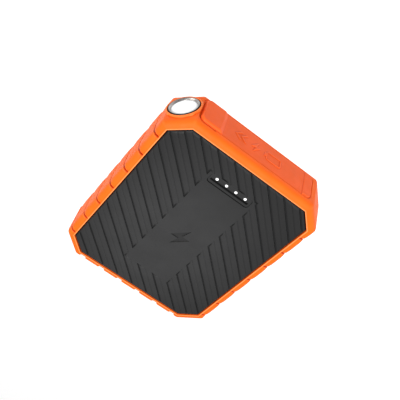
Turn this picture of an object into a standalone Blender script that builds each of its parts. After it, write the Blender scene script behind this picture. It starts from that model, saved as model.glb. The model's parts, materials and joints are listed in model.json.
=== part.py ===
"""A rugged jump starter pack, lying on its rear cover with the ribbed cover up.

Metres, +Z up. The port flap faces -Y and the torch looks out of the corner between +X and -Y.
The origin is the middle of the rear cover's outer face, on the surface that the pack lies on.
"""

import math

import bmesh
import bpy
from mathutils import Matrix, Vector

# Driving dimensions.
PACK_X = 0.100
PACK_Y = 0.128
PACK_Z = 0.027
RIM = 0.0049  # how far the cover's edge lies inside the bumper's outer wall
RIM_PROFILE = ((0.0, 0.0026), (0.0002, 0.0015), (0.0009, 0.0007))  # (inset, depth below the top face)
RIM_STEP = 0.0001  # how far the bumper's inner edge lies below the cover's face
COVER_LEG = 0.0092  # leg of the 45 degree corner of a cover
GAP = 0.0003  # clearance between pieces that rest on each other
OVERRUN = 0.001  # how far a cutter passes beyond the face that it opens
COVER_T = 0.0024
GASKET_T = 0.0008
GASKET_MARGIN = 0.0002
FRAME_WALL = 0.0020
CORNER_R = 0.0022  # rounding between the bumper's walls
CORNER_STEPS = 3

# Ribs of the covers: sloping channels at 45 degrees, and a plain band along the middle.
RIB_PITCH = 0.00753
RIB_PHASE = 0.00277  # distance from the centre to the nearest channel's deep line, across the ribs
CHANNEL_D = 0.0009
REAR_CHANNEL_D = 0.0005
CHANNEL_LOW = -0.0036  # the shallow edge of a channel, across the ribs from its deep line
CHANNEL_FLOOR = 0.0005  # half the width of the deep floor
CHANNEL_SHALLOW = 0.2  # depth at the shallow edge, as a share of the full depth
BAND_X = 0.0149
BAND_Y = (-0.0455, 0.0402)
MARK_CENTRE = (0.0, 0.0040)
MARK_SIZE = 0.0160
MARK_D = 0.0003

# Grip tiles: bowed grooves down the +X and -X walls, wide gaps on the +Y wall.
TILE_PITCH_X = 0.01515
TILE_FIRST_X = -0.0432
TILE_COUNT_X = 7
TILE_GROOVE_R = 0.0008
TILE_BOW = 0.0030  # how far a groove bends towards +Y at half height
TILE_BOW_STEPS = 6
GROOVE_TOP = ((0.0037, -0.0004), (0.0006, 0.0006))  # (inset, depth below the top face) over the rim
GROOVE_WALL = (-0.0001, 0.0030)
GROOVE_FOOT = ((-0.0001, 0.0004), (0.0010, -0.0003))  # (inset, height) round the lower edge
TILE_PITCH_Y = 0.0132
TILE_GAP_Y = 0.0034
TILE_GAPS_Y = 6
TILE_D = 0.0020

# Port flap, its anchor and its hinge.
FLAP_Z = (0.0034, 0.0220)
FLAP_X = (-0.0290, 0.0361)
FLAP_T = 0.0022
FLAP_R = 0.0030
SEAT_GAP = 0.00025
TAB_X = 0.0243
TAB_PROUD = 0.0015
TAB_MARGIN = 0.0003
TAB_ROUND = 0.0008
LIP_INSET = 0.0008  # the sealing lip, inside the port bay's mouth
LIP_T = 0.0012
LIP_PROUD = 0.0005
LIP_R = 0.0010
LIP_X = FLAP_X[0] + 0.0012
ANCHOR_X = (-0.0349, -0.0293)
ANCHOR_PROUD = 0.0004
HINGE_XY = (-0.02915, -0.0646)
HINGE_MARK = 0.005  # drawn size of the hinge line's empty

# Port bay.
BAY_X = 0.0310
BAY_Z = (0.0056, 0.0194)
BAY_R = 0.0015
BAY_DEPTH = 0.010
BEZEL_CORNER_R = 0.0013
PORT_FRONT_Y = -0.0606
BEZEL_Y = (-0.0609, -0.0577)
PORT_Z = 0.0125
JUMP_X = -0.0170
JUMP_SIZE = (0.0220, 0.0125, 0.0110)
JUMP_R = 0.0008
JUMP_CAVITY = (0.0186, 0.0080, 0.0076)
JUMP_CAVITY_R = 0.0010
JUMP_CONTACT_X = 0.0050
JUMP_CONTACT_R = 0.0020
JUMP_CONTACT_LENGTH = 0.0056
USB_A_X = 0.0190
USB_A_SIZE = (0.0131, 0.0136, 0.0058)
USB_A_R = 0.0005
USB_A_TONGUE = (0.0110, 0.0085, 0.0017)
USB_A_TONGUE_RISE = 0.0009
USB_C_X = 0.0040
USB_C_Z = 0.0112
USB_C_SIZE = (0.0090, 0.0073, 0.0032)
USB_C_R = 0.0015
USB_C_TONGUE = (0.0066, 0.0045, 0.0007)
TONGUE_R = 0.0001
SHELL_WALL = 0.0004
SHELL_BACK = 0.0008

# Torch, on an axis that leaves the corner at 45 degrees. Its stations run outwards from the corner's face.
TORCH_Z = 0.0133
TORCH_PROUD = 0.0012
COLLAR_R = 0.0093
COLLAR_FLARE = 0.0006
COLLAR_BACK = -0.0030
BEZEL_R = 0.00835
BEZEL_BORE_R = 0.00695
BEZEL_BACK = -0.0012
BEZEL_EDGE = 0.0004
BEZEL_FLARE = (0.0005, 0.0006)  # how far the bore opens at its mouth, and over what depth
BEZEL_SEAT = -0.0015
LENS_R = 0.0067
LENS_RIM = 0.0002
LENS_RISE = 0.0007
LENS_ANGLES = (0.0, 0.4, 0.8, 1.2)
SEAL_RING_R = 0.0062
SEAL_CORD_R = 0.0004
SEAL_STATION = -0.00195
SEAL_SIDES = 8
REFLECTOR_RIM = (0.0066, -0.00265)  # radius and station
REFLECTOR_NECK = (0.0026, -0.0120)
REFLECTOR_T = 0.0007
REFLECTOR_STEPS = 6
TORCH_BODY_R = 0.0077
TORCH_BODY_BORE_R = 0.00695
TORCH_BODY = (-0.0150, -0.0143, -0.0018)  # outer back, inner back and front
TORCH_WIRE_HOLE_R = 0.0020
TORCH_HOLE_GAP = 0.0004
TORCH_HOLE_BACK = -0.014
TORCH_BOARD_R = 0.0064
TORCH_BOARD = (-0.0140, -0.0130)
EMITTER_HALF = 0.00175
EMITTER = (-0.0127, -0.0123)

# Power button bar with its four lights.
BUTTON_CENTRE = (0.0, -0.0424)
BUTTON_SIZE = (0.0264, 0.0060)
BUTTON_TOP_Z = 0.0268
BUTTON_R = 0.0016
BUTTON_FLANGE = 0.0010
BUTTON_FLANGE_T = 0.0012
PUSHER_HALF = 0.0010
PUSHER_LOW_Z = 0.0228
TROUGH_Y = (0.00015, 0.00155)  # from the bar's middle
TROUGH_END = 0.0010
TROUGH_D = 0.0010
LIGHT_Y = -0.0434
LIGHT_PITCH = 0.00613
LIGHT_COUNT = 4
LIGHT_R = 0.0008
LIGHT_GAP = 0.00015
LIGHT_LOW_Z = 0.0226

# Button board, on two posts of the top cover.
BUTTON_BOARD_Z = (0.0192, 0.0204)
BUTTON_BOARD_HALF = (0.0210, 0.0045)
BUTTON_BOARD_SCREW_X = 0.0175
BOARD_CORNER_R = 0.0010
COVER_POST_R = 0.0022
SMALL_HOLE_R = 0.0011
COVER_BORE_END = 0.0006
SWITCH_HALF = (0.00175, 0.0018)
SWITCH_H = 0.0011
PLUNGER_R = 0.0009
PLUNGER_TOP_Z = 0.0223
STATUS_LIGHT_HALF = (0.0008, 0.0005)
STATUS_LIGHT_H = 0.0007
SMALL_SCREW_R = 0.0008
SMALL_SCREW_HEAD_R = 0.0018
SMALL_SCREW_HEAD_Z = 0.0181
SMALL_SCREW_Z = (0.0228, 0.0232)  # where the tip's taper starts and ends

# Cells, tray and pad.
CELL_COUNT = 3
CELL_SIZE = (0.0760, 0.0660, 0.0054)
CELL_CORNER_R = 0.0015
CELL_ROUND = 0.0010
CELL_CENTRE_Y = 0.0120
CELL_FIRST_Z = 0.0040
CELL_STEP_Z = 0.0058
TRAY_MARGIN = (0.0014, 0.0016)
TRAY_WALL = 0.0010
TRAY_TOP_Z = 0.0060
PAD_LOW = (-0.030, -0.014)
PAD_HIGH = (0.030, 0.040)
PAD_ROUND = 0.0006
LINK_X = 0.020
LINK_HALF = 0.004
LINK_T = 0.0004
LINK_RISE = 0.0026
LINK_H = 0.0054
PROTECTION_HALF_X = 0.030
PROTECTION_Y = (0.0032, 0.0020)  # back and front, before the cells
PROTECTION_Z = (0.0040, 0.0160)

# Power board, its parts and its posts.
MAIN_BOARD = ((-0.0050, -0.0560, 0.0077), (0.0265, -0.0260, 0.0093))
BOARD_POST_R = 0.0020
BOARD_POST_X = 0.004  # from the board's left and right edges
BOARD_POST_Y = (0.012, 0.004)  # from its low and high edges
BOARD_POST_LOW_Z = 0.0018
COIL_LOW = (0.0000, -0.0400)
COIL_HIGH = (0.0120, -0.0280)
COIL_H = 0.0065
CAN_XY = (0.0200, -0.0335)
CAN_R = 0.0040
CAN_H = 0.0085

# Wires.
LEAD_R = 0.0015
LEAD_STUB = 0.0020
LEAD_SHIFT = 0.004
LEAD_Z = (0.0150, 0.0110)  # middle and end
TORCH_WIRE_R = 0.0006
TORCH_WIRE_SPREAD = 0.0010
TORCH_WIRE_START = -0.0143
TORCH_WIRE_STUB = -0.0190
TORCH_WIRE_BEND = 0.004
TORCH_WIRE_Z = 0.0140
TORCH_WIRE_END = (0.0240, -0.0400)

# Rear screws and the frame's bosses.
BOSS_SPOTS = ((0.0383, 0.0503), (-0.0383, 0.0503), (-0.0383, -0.0503), (0.0404, -0.0320))
BOSS_R = 0.0032
BOSS_TOP_Z = 0.0200
BOSS_BORE_R = 0.0015
BOSS_BORE_TOP_Z = 0.0155
SCREW_SEAT_R = 0.0026
SCREW_SEAT_Z = 0.0016
SCREW_R = 0.0012
SCREW_HEAD_R = 0.0023
SCREW_HEAD_EDGE = 0.0003
SCREW_HEAD_Z = (0.0001, 0.0013)
SCREW_TIP_R = 0.0008
SCREW_TIP_Z = (0.0128, 0.0136, 0.0140)
RECESS_Z = 0.0008

TOP_Z = PACK_Z
TOP_COVER_Z = (TOP_Z - COVER_T, TOP_Z)
REAR_COVER_Z = (0.0, COVER_T)
REAR_GASKET_Z = (COVER_T + GAP, COVER_T + GAP + GASKET_T)
TOP_GASKET_Z = (TOP_COVER_Z[0] - GAP - GASKET_T, TOP_COVER_Z[0] - GAP)
FRAME_Z = (REAR_GASKET_Z[1] + GAP, TOP_GASKET_Z[0] - GAP)
WALL_Y = -PACK_Y / 2
CELL_FRONT_Y = CELL_CENTRE_Y - CELL_SIZE[1] / 2

PACK_NAME = "jump_starter_pack"
CUTTERS_NAME = "cutters"
MERGE_DISTANCE = 1e-6
FLAT_ANGLE = math.radians(0.5)


# Scene, materials and collections.


def clear_scene():
    for item in list(bpy.data.objects):
        bpy.data.objects.remove(item, do_unlink=True)


def new_collection(name):
    collection = bpy.data.collections.new(name)
    bpy.context.scene.collection.children.link(collection)
    return collection


def material(name, colour, roughness, metallic=0.0):
    found = bpy.data.materials.get(name)
    if found:
        return found
    made = bpy.data.materials.new(name)
    made.use_nodes = True
    shader = made.node_tree.nodes["Principled BSDF"]
    shader.inputs["Base Color"].default_value = (*colour, 1.0)
    shader.inputs["Roughness"].default_value = roughness
    shader.inputs["Metallic"].default_value = metallic
    return made


def finishes():
    return {
        "orange_rubber": material("orange_rubber", (0.90, 0.17, 0.03), 0.55),
        "flap_rubber": material("flap_rubber", (0.85, 0.17, 0.06), 0.60),
        "dark_cover": material("dark_cover", (0.058, 0.058, 0.060), 0.60),
        "frame_black": material("frame_black", (0.02, 0.02, 0.02), 0.50),
        "seal_rubber": material("seal_rubber", (0.03, 0.03, 0.03), 0.80),
        "dark_chrome": material("dark_chrome", (0.25, 0.24, 0.24), 0.20, 1.0),
        "bright_metal": material("bright_metal", (0.75, 0.75, 0.76), 0.25, 1.0),
        "clear_plastic": material("clear_plastic", (0.90, 0.92, 0.94), 0.05),
        "light_white": material("light_white", (0.95, 0.95, 0.95), 0.30),
        "board_green": material("board_green", (0.02, 0.12, 0.05), 0.50),
        "gold_contact": material("gold_contact", (0.90, 0.65, 0.25), 0.25, 1.0),
        "cell_foil": material("cell_foil", (0.45, 0.47, 0.50), 0.40),
        "foam_grey": material("foam_grey", (0.12, 0.12, 0.12), 0.95),
        "wire_red": material("wire_red", (0.55, 0.02, 0.02), 0.50),
        "wire_black": material("wire_black", (0.02, 0.02, 0.02), 0.50),
        "socket_blue": material("socket_blue", (0.03, 0.10, 0.35), 0.45),
    }


# Modelling helpers.


class Workshop:
    """Makes objects in the pack's collection, and cutters in the other one."""

    def __init__(self):
        self.parts = new_collection(PACK_NAME)
        self.cutters = new_collection(CUTTERS_NAME)
        self.finish = finishes()

    def part(self, name, mesh, finish, matrix=Matrix.Identity(4)):
        made = bpy.data.objects.new(name, mesh)
        made.matrix_world = matrix
        made.data.materials.append(self.finish[finish])
        self.parts.objects.link(made)
        return made

    def cutter(self, name, mesh, matrix=Matrix.Identity(4)):
        made = bpy.data.objects.new(name, mesh)
        made.matrix_world = matrix
        made.hide_render = True
        made.display_type = "WIRE"
        self.cutters.objects.link(made)
        return made


def boolean(target, tool, operation="DIFFERENCE"):
    modifier = target.modifiers.new(f"{operation.lower()}_{tool.name}", "BOOLEAN")
    modifier.operation = operation
    modifier.solver = "EXACT"
    modifier.object = tool
    return target


def soften(target, width, segments=2, angle=40.0):
    modifier = target.modifiers.new("soften", "BEVEL")
    modifier.width = width
    modifier.segments = segments
    modifier.limit_method = "ANGLE"
    modifier.angle_limit = math.radians(angle)
    return target


def smooth(mesh, angle=35.0):
    mesh.shade_smooth()
    mesh.set_sharp_from_angle(angle=math.radians(angle))
    return mesh


def mesh_from(name, bm):
    mesh = bpy.data.meshes.new(name)
    bm.to_mesh(mesh)
    bm.free()
    return mesh


def box_mesh(name, low, high):
    """A box between two corners."""
    low, high = Vector(low), Vector(high)
    size = high - low
    bm = bmesh.new()
    bmesh.ops.create_cube(bm, size=1.0)
    place = Matrix.Translation((low + high) / 2) @ Matrix.Diagonal((*size, 1.0))
    bmesh.ops.transform(bm, matrix=place, verts=bm.verts)
    return mesh_from(name, bm)


def cylinder_mesh(name, radius, low, high, sides=24, top_radius=None):
    """A cylinder or cone on the Z axis, between two heights."""
    bm = bmesh.new()
    bmesh.ops.create_cone(
        bm,
        cap_ends=True,
        segments=sides,
        radius1=radius,
        radius2=radius if top_radius is None else top_radius,
        depth=high - low,
    )
    bmesh.ops.translate(bm, vec=(0.0, 0.0, (low + high) / 2), verts=bm.verts)
    return smooth(mesh_from(name, bm))


def joined_mesh(name, meshes):
    """Several separate closed meshes in one, for a tool that cuts many places."""
    bm = bmesh.new()
    for mesh in meshes:
        bm.from_mesh(mesh)
        bpy.data.meshes.remove(mesh)
    return mesh_from(name, bm)


def arc(centre, radius, start, end, steps):
    """Points on an arc between two angles in degrees."""
    angles = [math.radians(start + (end - start) * i / steps) for i in range(steps + 1)]
    return [(centre[0] + radius * math.cos(a), centre[1] + radius * math.sin(a)) for a in angles]


def rounded_box(low, high, radii, steps=3):
    """A rectangle's outline, anticlockwise from its low corner, with one radius for each corner."""
    corners = ((low[0], low[1]), (high[0], low[1]), (high[0], high[1]), (low[0], high[1]))
    inward = ((1, 1), (-1, 1), (-1, -1), (1, -1))
    points = []
    for index, (corner, turn, radius) in enumerate(zip(corners, inward, radii)):
        if radius <= 0.0:
            points.append(corner)
            continue
        centre = (corner[0] + turn[0] * radius, corner[1] + turn[1] * radius)
        start = 180.0 + 90.0 * index
        points += arc(centre, radius, start, start + 90.0, steps)
    return points


def corner_leg(inset):
    """Leg of the 45 degree corner of the outline, moved inwards by inset."""
    return COVER_LEG + (RIM - inset) * (2.0 - math.sqrt(2.0))


def octagon(inset, radius=0.0, steps=CORNER_STEPS):
    """The pack's outline, moved inwards by inset, with its eight corners rounded."""
    half_x, half_y = PACK_X / 2 - inset, PACK_Y / 2 - inset
    leg = corner_leg(inset)
    corners = [
        (half_x, -half_y + leg),
        (half_x, half_y - leg),
        (half_x - leg, half_y),
        (-half_x + leg, half_y),
        (-half_x, half_y - leg),
        (-half_x, -half_y + leg),
        (-half_x + leg, -half_y),
        (half_x - leg, -half_y),
    ]
    if radius <= 0.0:
        return corners
    points = []
    half_turn = math.radians(45.0) / 2
    reach = radius * math.tan(half_turn)
    for index, corner in enumerate(corners):
        here = Vector(corner)
        back = (Vector(corners[index - 1]) - here).normalized()
        ahead = (Vector(corners[(index + 1) % 8]) - here).normalized()
        centre = here + (back + ahead).normalized() * (radius / math.cos(half_turn))
        first = here + back * reach - centre
        start = math.degrees(math.atan2(first.y, first.x))
        points += arc(centre, radius, start, start + 45.0, steps)
    return points


def bmesh_from_curve(name, curve):
    """A curve as clean geometry. The curve itself is removed."""
    holder = bpy.data.objects.new(name, curve)
    bpy.context.scene.collection.objects.link(holder)
    evaluated = holder.evaluated_get(bpy.context.evaluated_depsgraph_get())
    raw = bpy.data.meshes.new_from_object(evaluated)
    bm = bmesh.new()
    bm.from_mesh(raw)
    bmesh.ops.remove_doubles(bm, verts=bm.verts, dist=MERGE_DISTANCE)
    bmesh.ops.recalc_face_normals(bm, faces=bm.faces)
    bpy.data.objects.remove(holder)
    bpy.data.curves.remove(curve)
    bpy.data.meshes.remove(raw)
    return bm


def plate_mesh(name, outlines, low, high):
    """A flat piece between two heights: the first outline is its edge, the others are holes in it."""
    curve = bpy.data.curves.new(name, "CURVE")
    curve.dimensions = "2D"
    curve.fill_mode = "BOTH"
    curve.extrude = (high - low) / 2
    for outline in outlines:
        spline = curve.splines.new("POLY")
        spline.points.add(len(outline) - 1)
        for point, place in zip(spline.points, outline):
            point.co = (place[0], place[1], 0.0, 1.0)
        spline.use_cyclic_u = True
    bm = bmesh_from_curve(name, curve)
    bmesh.ops.dissolve_limit(bm, angle_limit=FLAT_ANGLE, verts=bm.verts, edges=bm.edges)
    bmesh.ops.translate(bm, vec=(0.0, 0.0, (low + high) / 2), verts=bm.verts)
    return mesh_from(name, bm)


def facing_minus_y(y_front, y_back):
    """Stands a plate up: its X stays, its Y becomes Z, and its heights run from the front to the back."""
    turn = Matrix(((1, 0, 0, 0), (0, 0, -1, 0), (0, 1, 0, 0), (0, 0, 0, 1)))
    return Matrix.Translation((0.0, (y_front + y_back) / 2, 0.0)) @ turn


def upright_mesh(name, outlines, y_front, y_back):
    """A plate in the XZ plane between two depths."""
    half = (y_back - y_front) / 2
    mesh = plate_mesh(name, outlines, -half, half)
    mesh.transform(facing_minus_y(y_front, y_back))
    return mesh


def swept_ring_mesh(name, section):
    """A ring round the pack. The section is a closed loop of (inset, height, corner radius)."""
    bm = bmesh.new()
    loops = []
    for inset, height, radius in section:
        loops.append([bm.verts.new((x, y, height)) for x, y in octagon(inset, radius)])
    count = len(loops[0])
    for index, loop in enumerate(loops):
        following = loops[(index + 1) % len(loops)]
        for i in range(count):
            j = (i + 1) % count
            bm.faces.new((loop[i], loop[j], following[j], following[i]))
    bmesh.ops.recalc_face_normals(bm, faces=bm.faces)
    return smooth(mesh_from(name, bm), 30.0)


def turned(workshop, name, profile, finish, matrix, steps=32, closed=True):
    """A profile of (radius, height) turned round the Z axis."""
    mesh = bpy.data.meshes.new(name)
    points = [(radius, 0.0, height) for radius, height in profile]
    edges = [(i, i + 1) for i in range(len(points) - 1)]
    if closed:
        edges.append((len(points) - 1, 0))
    mesh.from_pydata(points, edges, [])
    made = workshop.part(name, mesh, finish, matrix)
    screw = made.modifiers.new("turn", "SCREW")
    screw.steps = steps
    screw.render_steps = steps
    screw.use_merge_vertices = True
    screw.merge_threshold = 0.00001
    screw.use_smooth_shade = True
    return made


def tube_curve(name, points, radius, resolution):
    """A round tube along a list of points."""
    curve = bpy.data.curves.new(name, "CURVE")
    curve.dimensions = "3D"
    curve.bevel_depth = radius
    curve.bevel_resolution = resolution
    curve.use_fill_caps = True
    spline = curve.splines.new("POLY")
    spline.points.add(len(points) - 1)
    for point, place in zip(spline.points, points):
        point.co = (*place, 1.0)
    return curve


def wire(workshop, name, points, radius, finish):
    """An insulated wire along a list of points."""
    made = bpy.data.objects.new(name, tube_curve(name, points, radius, 2))
    made.data.materials.append(workshop.finish[finish])
    workshop.parts.objects.link(made)
    return made


def bend_points(start, middle, end, steps=6):
    """Points on the smooth curve from start to end that leans towards middle."""
    a, b, c = Vector(start), Vector(middle), Vector(end)
    places = [i / steps for i in range(steps + 1)]
    return [a * (1 - t) ** 2 + b * (2 * t * (1 - t)) + c * t**2 for t in places]


# Covers.


def channel_mesh(across, surface_z, depth):
    """One channel's cutter along X: a floor that falls from its shallow edge to its deep line."""
    above = surface_z + math.copysign(OVERRUN, depth)
    section = [
        (across + CHANNEL_LOW, above),
        (across + CHANNEL_LOW, surface_z - depth * CHANNEL_SHALLOW),
        (across - CHANNEL_FLOOR, surface_z - depth),
        (across + CHANNEL_FLOOR, surface_z - depth),
        (across + CHANNEL_FLOOR, above),
    ]
    mesh = plate_mesh("channel", [section], -PACK_X, PACK_X)
    mesh.transform(Matrix(((0, 0, 1, 0), (1, 0, 0, 0), (0, 1, 0, 0), (0, 0, 0, 1))))
    return mesh


def groove_tool(workshop, name, surface_z, depth):
    """Channels at 45 degrees across a cover, outside its plain band. A rear face takes a negative depth."""
    count = int(PACK_Y / RIB_PITCH)
    turn = Matrix.Rotation(math.radians(-45.0), 4, "Z")
    widest = (PACK_X + PACK_Y) / 2 / math.sqrt(2.0)
    channels = []
    for index in range(-count, count + 1):
        across = RIB_PHASE + index * RIB_PITCH
        if abs(across) < widest:
            mesh = channel_mesh(across, surface_z, depth)
            mesh.transform(turn)
            channels.append(mesh)
    tool = workshop.cutter(name, joined_mesh(name, channels))
    band = [(-BAND_X, BAND_Y[0]), (BAND_X, BAND_Y[0]), (BAND_X, BAND_Y[1]), (-BAND_X, BAND_Y[1])]
    band_mesh = plate_mesh(name + "_band", [band], surface_z - 2 * OVERRUN, surface_z + 2 * OVERRUN)
    boolean(tool, workshop.cutter(name + "_band", band_mesh))
    return tool


def bolt_mark_outline():
    """A lightning bolt, as a plain mark."""
    unit = MARK_SIZE / 2
    shape = ((0.30, 1.0), (-0.70, -0.15), (-0.08, -0.15), (-0.30, -1.0), (0.70, 0.2), (0.08, 0.2))
    return [(MARK_CENTRE[0] + x * unit, MARK_CENTRE[1] + y * unit) for x, y in shape]


def button_outline(grow):
    half_x, half_y = BUTTON_SIZE[0] / 2 + grow, BUTTON_SIZE[1] / 2 + grow
    low = (BUTTON_CENTRE[0] - half_x, BUTTON_CENTRE[1] - half_y)
    high = (BUTTON_CENTRE[0] + half_x, BUTTON_CENTRE[1] + half_y)
    return rounded_box(low, high, (BUTTON_R + grow,) * 4)


def top_cover(workshop):
    outlines = [octagon(RIM), button_outline(GAP)]
    cover = workshop.part("top_cover", plate_mesh("top_cover", outlines, *TOP_COVER_Z), "dark_cover")
    low_z, high_z = BUTTON_BOARD_Z[1], TOP_COVER_Z[0]
    for side in (-1, 1):
        place = Matrix.Translation((side * BUTTON_BOARD_SCREW_X, BUTTON_CENTRE[1], 0.0))
        post = cylinder_mesh("post", COVER_POST_R, low_z + GAP, high_z + OVERRUN, 16)
        bore = cylinder_mesh("bore", SMALL_HOLE_R, low_z, high_z - COVER_BORE_END, 12)
        boolean(cover, workshop.cutter(f"cover_post_{side}", post, place), "UNION")
        boolean(cover, workshop.cutter(f"cover_bore_{side}", bore, place))
    boolean(cover, groove_tool(workshop, "top_grooves", TOP_Z, CHANNEL_D))
    mark = plate_mesh("mark", [bolt_mark_outline()], TOP_Z - MARK_D, TOP_Z + MARK_D)
    boolean(cover, workshop.cutter("top_mark", mark))
    return cover


def rear_cover(workshop):
    mesh = plate_mesh("rear_cover", [octagon(RIM)], *REAR_COVER_Z)
    cover = workshop.part("rear_cover", mesh, "dark_cover")
    for index, (x, y) in enumerate(BOSS_SPOTS):
        place = Matrix.Translation((x, y, 0.0))
        seat = cylinder_mesh("seat", SCREW_SEAT_R, -OVERRUN, SCREW_SEAT_Z, 20)
        hole = cylinder_mesh("hole", BOSS_BORE_R, -OVERRUN, COVER_T + OVERRUN, 16)
        boolean(cover, workshop.cutter(f"screw_seat_{index}", seat, place))
        boolean(cover, workshop.cutter(f"screw_hole_{index}", hole, place))
    low, high = MAIN_BOARD
    for index, x in enumerate((low[0] + BOARD_POST_X, high[0] - BOARD_POST_X)):
        for row, y in enumerate((low[1] + BOARD_POST_Y[0], high[1] - BOARD_POST_Y[1])):
            post = cylinder_mesh("post", BOARD_POST_R, BOARD_POST_LOW_Z, low[2] - GAP, 12)
            place = Matrix.Translation((x, y, 0.0))
            boolean(cover, workshop.cutter(f"board_post_{index}_{row}", post, place), "UNION")
    boolean(cover, groove_tool(workshop, "rear_grooves", REAR_COVER_Z[0], -REAR_CHANNEL_D))
    return cover


def gaskets(workshop):
    for name, span in (("rear_gasket", REAR_GASKET_Z), ("top_gasket", TOP_GASKET_Z)):
        outlines = [octagon(RIM + GASKET_MARGIN), octagon(RIM + FRAME_WALL - GASKET_MARGIN)]
        workshop.part(name, plate_mesh(name, outlines, *span), "seal_rubber")


# Frame and bumper.


def bay_tool(workshop, name):
    outline = rounded_box((-BAY_X, BAY_Z[0]), (BAY_X, BAY_Z[1]), (BAY_R,) * 4, 2)
    mesh = upright_mesh(name, [outline], WALL_Y - 2 * OVERRUN, WALL_Y + BAY_DEPTH)
    return workshop.cutter(name, mesh)


def torch_frame():
    """Places the torch: its Z axis points out of the corner, from the middle of the corner's face."""
    leg = corner_leg(0.0)
    centre = Vector((PACK_X / 2 - leg / 2, -PACK_Y / 2 + leg / 2, TORCH_Z))
    outward = Vector((1.0, -1.0, 0.0)).normalized()
    return Matrix.Translation(centre) @ outward.to_track_quat("Z", "Y").to_matrix().to_4x4()


def housing_frame(workshop):
    outlines = [octagon(RIM), octagon(RIM + FRAME_WALL)]
    mesh = plate_mesh("housing_frame", outlines, *FRAME_Z)
    frame = workshop.part("housing_frame", mesh, "frame_black")
    for index, (x, y) in enumerate(BOSS_SPOTS):
        place = Matrix.Translation((x, y, 0.0))
        boss = cylinder_mesh("boss", BOSS_R, FRAME_Z[0], BOSS_TOP_Z, 20)
        bore = cylinder_mesh("bore", BOSS_BORE_R, FRAME_Z[0] - OVERRUN, BOSS_BORE_TOP_Z, 12)
        boolean(frame, workshop.cutter(f"boss_{index}", boss, place), "UNION")
        boolean(frame, workshop.cutter(f"boss_bore_{index}", bore, place))
    boolean(frame, bay_tool(workshop, "frame_bay"))
    hole = cylinder_mesh("hole", TORCH_BODY_R + TORCH_HOLE_GAP, TORCH_HOLE_BACK, OVERRUN, 40)
    boolean(frame, workshop.cutter("frame_torch_hole", hole, torch_frame()))
    return frame


def bumper_section():
    """Closed loop of (inset, height, corner radius), up the outer wall and down the inner one."""
    inner = RIM - GAP
    lower = [(inset, depth, CORNER_R) for inset, depth in reversed(RIM_PROFILE)]
    upper = [(inset, TOP_Z - depth, CORNER_R) for inset, depth in RIM_PROFILE]
    inner_side = [(inner, TOP_Z - RIM_STEP, CORNER_R / 4), (inner, RIM_STEP, CORNER_R / 4)]
    return lower + upper + inner_side


def side_groove_path(side, y):
    """From the bevel over the rim and down one long wall, bowed towards +Y."""
    wall = PACK_X / 2
    path = [(side * (wall - inset), y, TOP_Z - depth) for inset, depth in (*GROOVE_TOP, GROOVE_WALL)]
    wall_inset, wall_top = GROOVE_WALL[0], TOP_Z - GROOVE_WALL[1]
    for step in range(1, TILE_BOW_STEPS):
        share = step / TILE_BOW_STEPS
        bow = TILE_BOW * math.sin(math.pi * share)
        path.append((side * (wall - wall_inset), y + bow, wall_top * (1.0 - share)))
    path += [(side * (wall - inset), y, height) for inset, height in GROOVE_FOOT]
    return path


def side_groove_tool(workshop, side):
    """Round-bottomed grooves of one long wall."""
    name = "grooves_right" if side > 0 else "grooves_left"
    tools = []
    for index in range(TILE_COUNT_X):
        path = side_groove_path(side, TILE_FIRST_X + index * TILE_PITCH_X)
        curve = tube_curve("groove", path, TILE_GROOVE_R, 1)
        tools.append(mesh_from("groove", bmesh_from_curve("groove", curve)))
    return workshop.cutter(name, joined_mesh(name, tools))


def end_gap_tool(workshop):
    """Wide gaps between the tiles of the +Y wall."""
    tools = []
    for index in range(TILE_GAPS_Y):
        x = (index - (TILE_GAPS_Y - 1) / 2) * TILE_PITCH_Y
        low = (x - TILE_GAP_Y / 2, PACK_Y / 2 - TILE_D, -OVERRUN)
        high = (x + TILE_GAP_Y / 2, PACK_Y / 2 + OVERRUN, TOP_Z + OVERRUN)
        tools.append(box_mesh("gap", low, high))
    return workshop.cutter("end_gaps", joined_mesh("end_gaps", tools))


def bumper(workshop):
    made = workshop.part("bumper", swept_ring_mesh("bumper", bumper_section()), "orange_rubber")
    torch = torch_frame()
    collar_top = TORCH_PROUD - RIM_STEP
    collar = cylinder_mesh("collar", COLLAR_R + COLLAR_FLARE, COLLAR_BACK, collar_top, 40, COLLAR_R)
    boolean(made, workshop.cutter("torch_collar", collar, torch), "UNION")
    for side in (1, -1):
        boolean(made, side_groove_tool(workshop, side))
    boolean(made, end_gap_tool(workshop))
    seat_outline = rounded_box(
        (ANCHOR_X[0] - SEAT_GAP, FLAP_Z[0] - SEAT_GAP),
        (FLAP_X[1] + SEAT_GAP, FLAP_Z[1] + SEAT_GAP),
        (FLAP_R + SEAT_GAP,) * 4,
    )
    seat = upright_mesh("flap_seat", [seat_outline], WALL_Y - 2 * OVERRUN, WALL_Y + FLAP_T + GAP)
    boolean(made, workshop.cutter("flap_seat", seat))
    boolean(made, bay_tool(workshop, "bumper_bay"))
    front_hole = cylinder_mesh("front_hole", BEZEL_R + SEAT_GAP, BEZEL_SEAT, 4 * OVERRUN, 40)
    deep_hole = cylinder_mesh("deep_hole", TORCH_BODY_R + SEAT_GAP, TORCH_HOLE_BACK, OVERRUN, 40)
    boolean(made, workshop.cutter("torch_front_hole", front_hole, torch))
    boolean(made, workshop.cutter("torch_deep_hole", deep_hole, torch))
    return made


# Port flap and ports.


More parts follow.
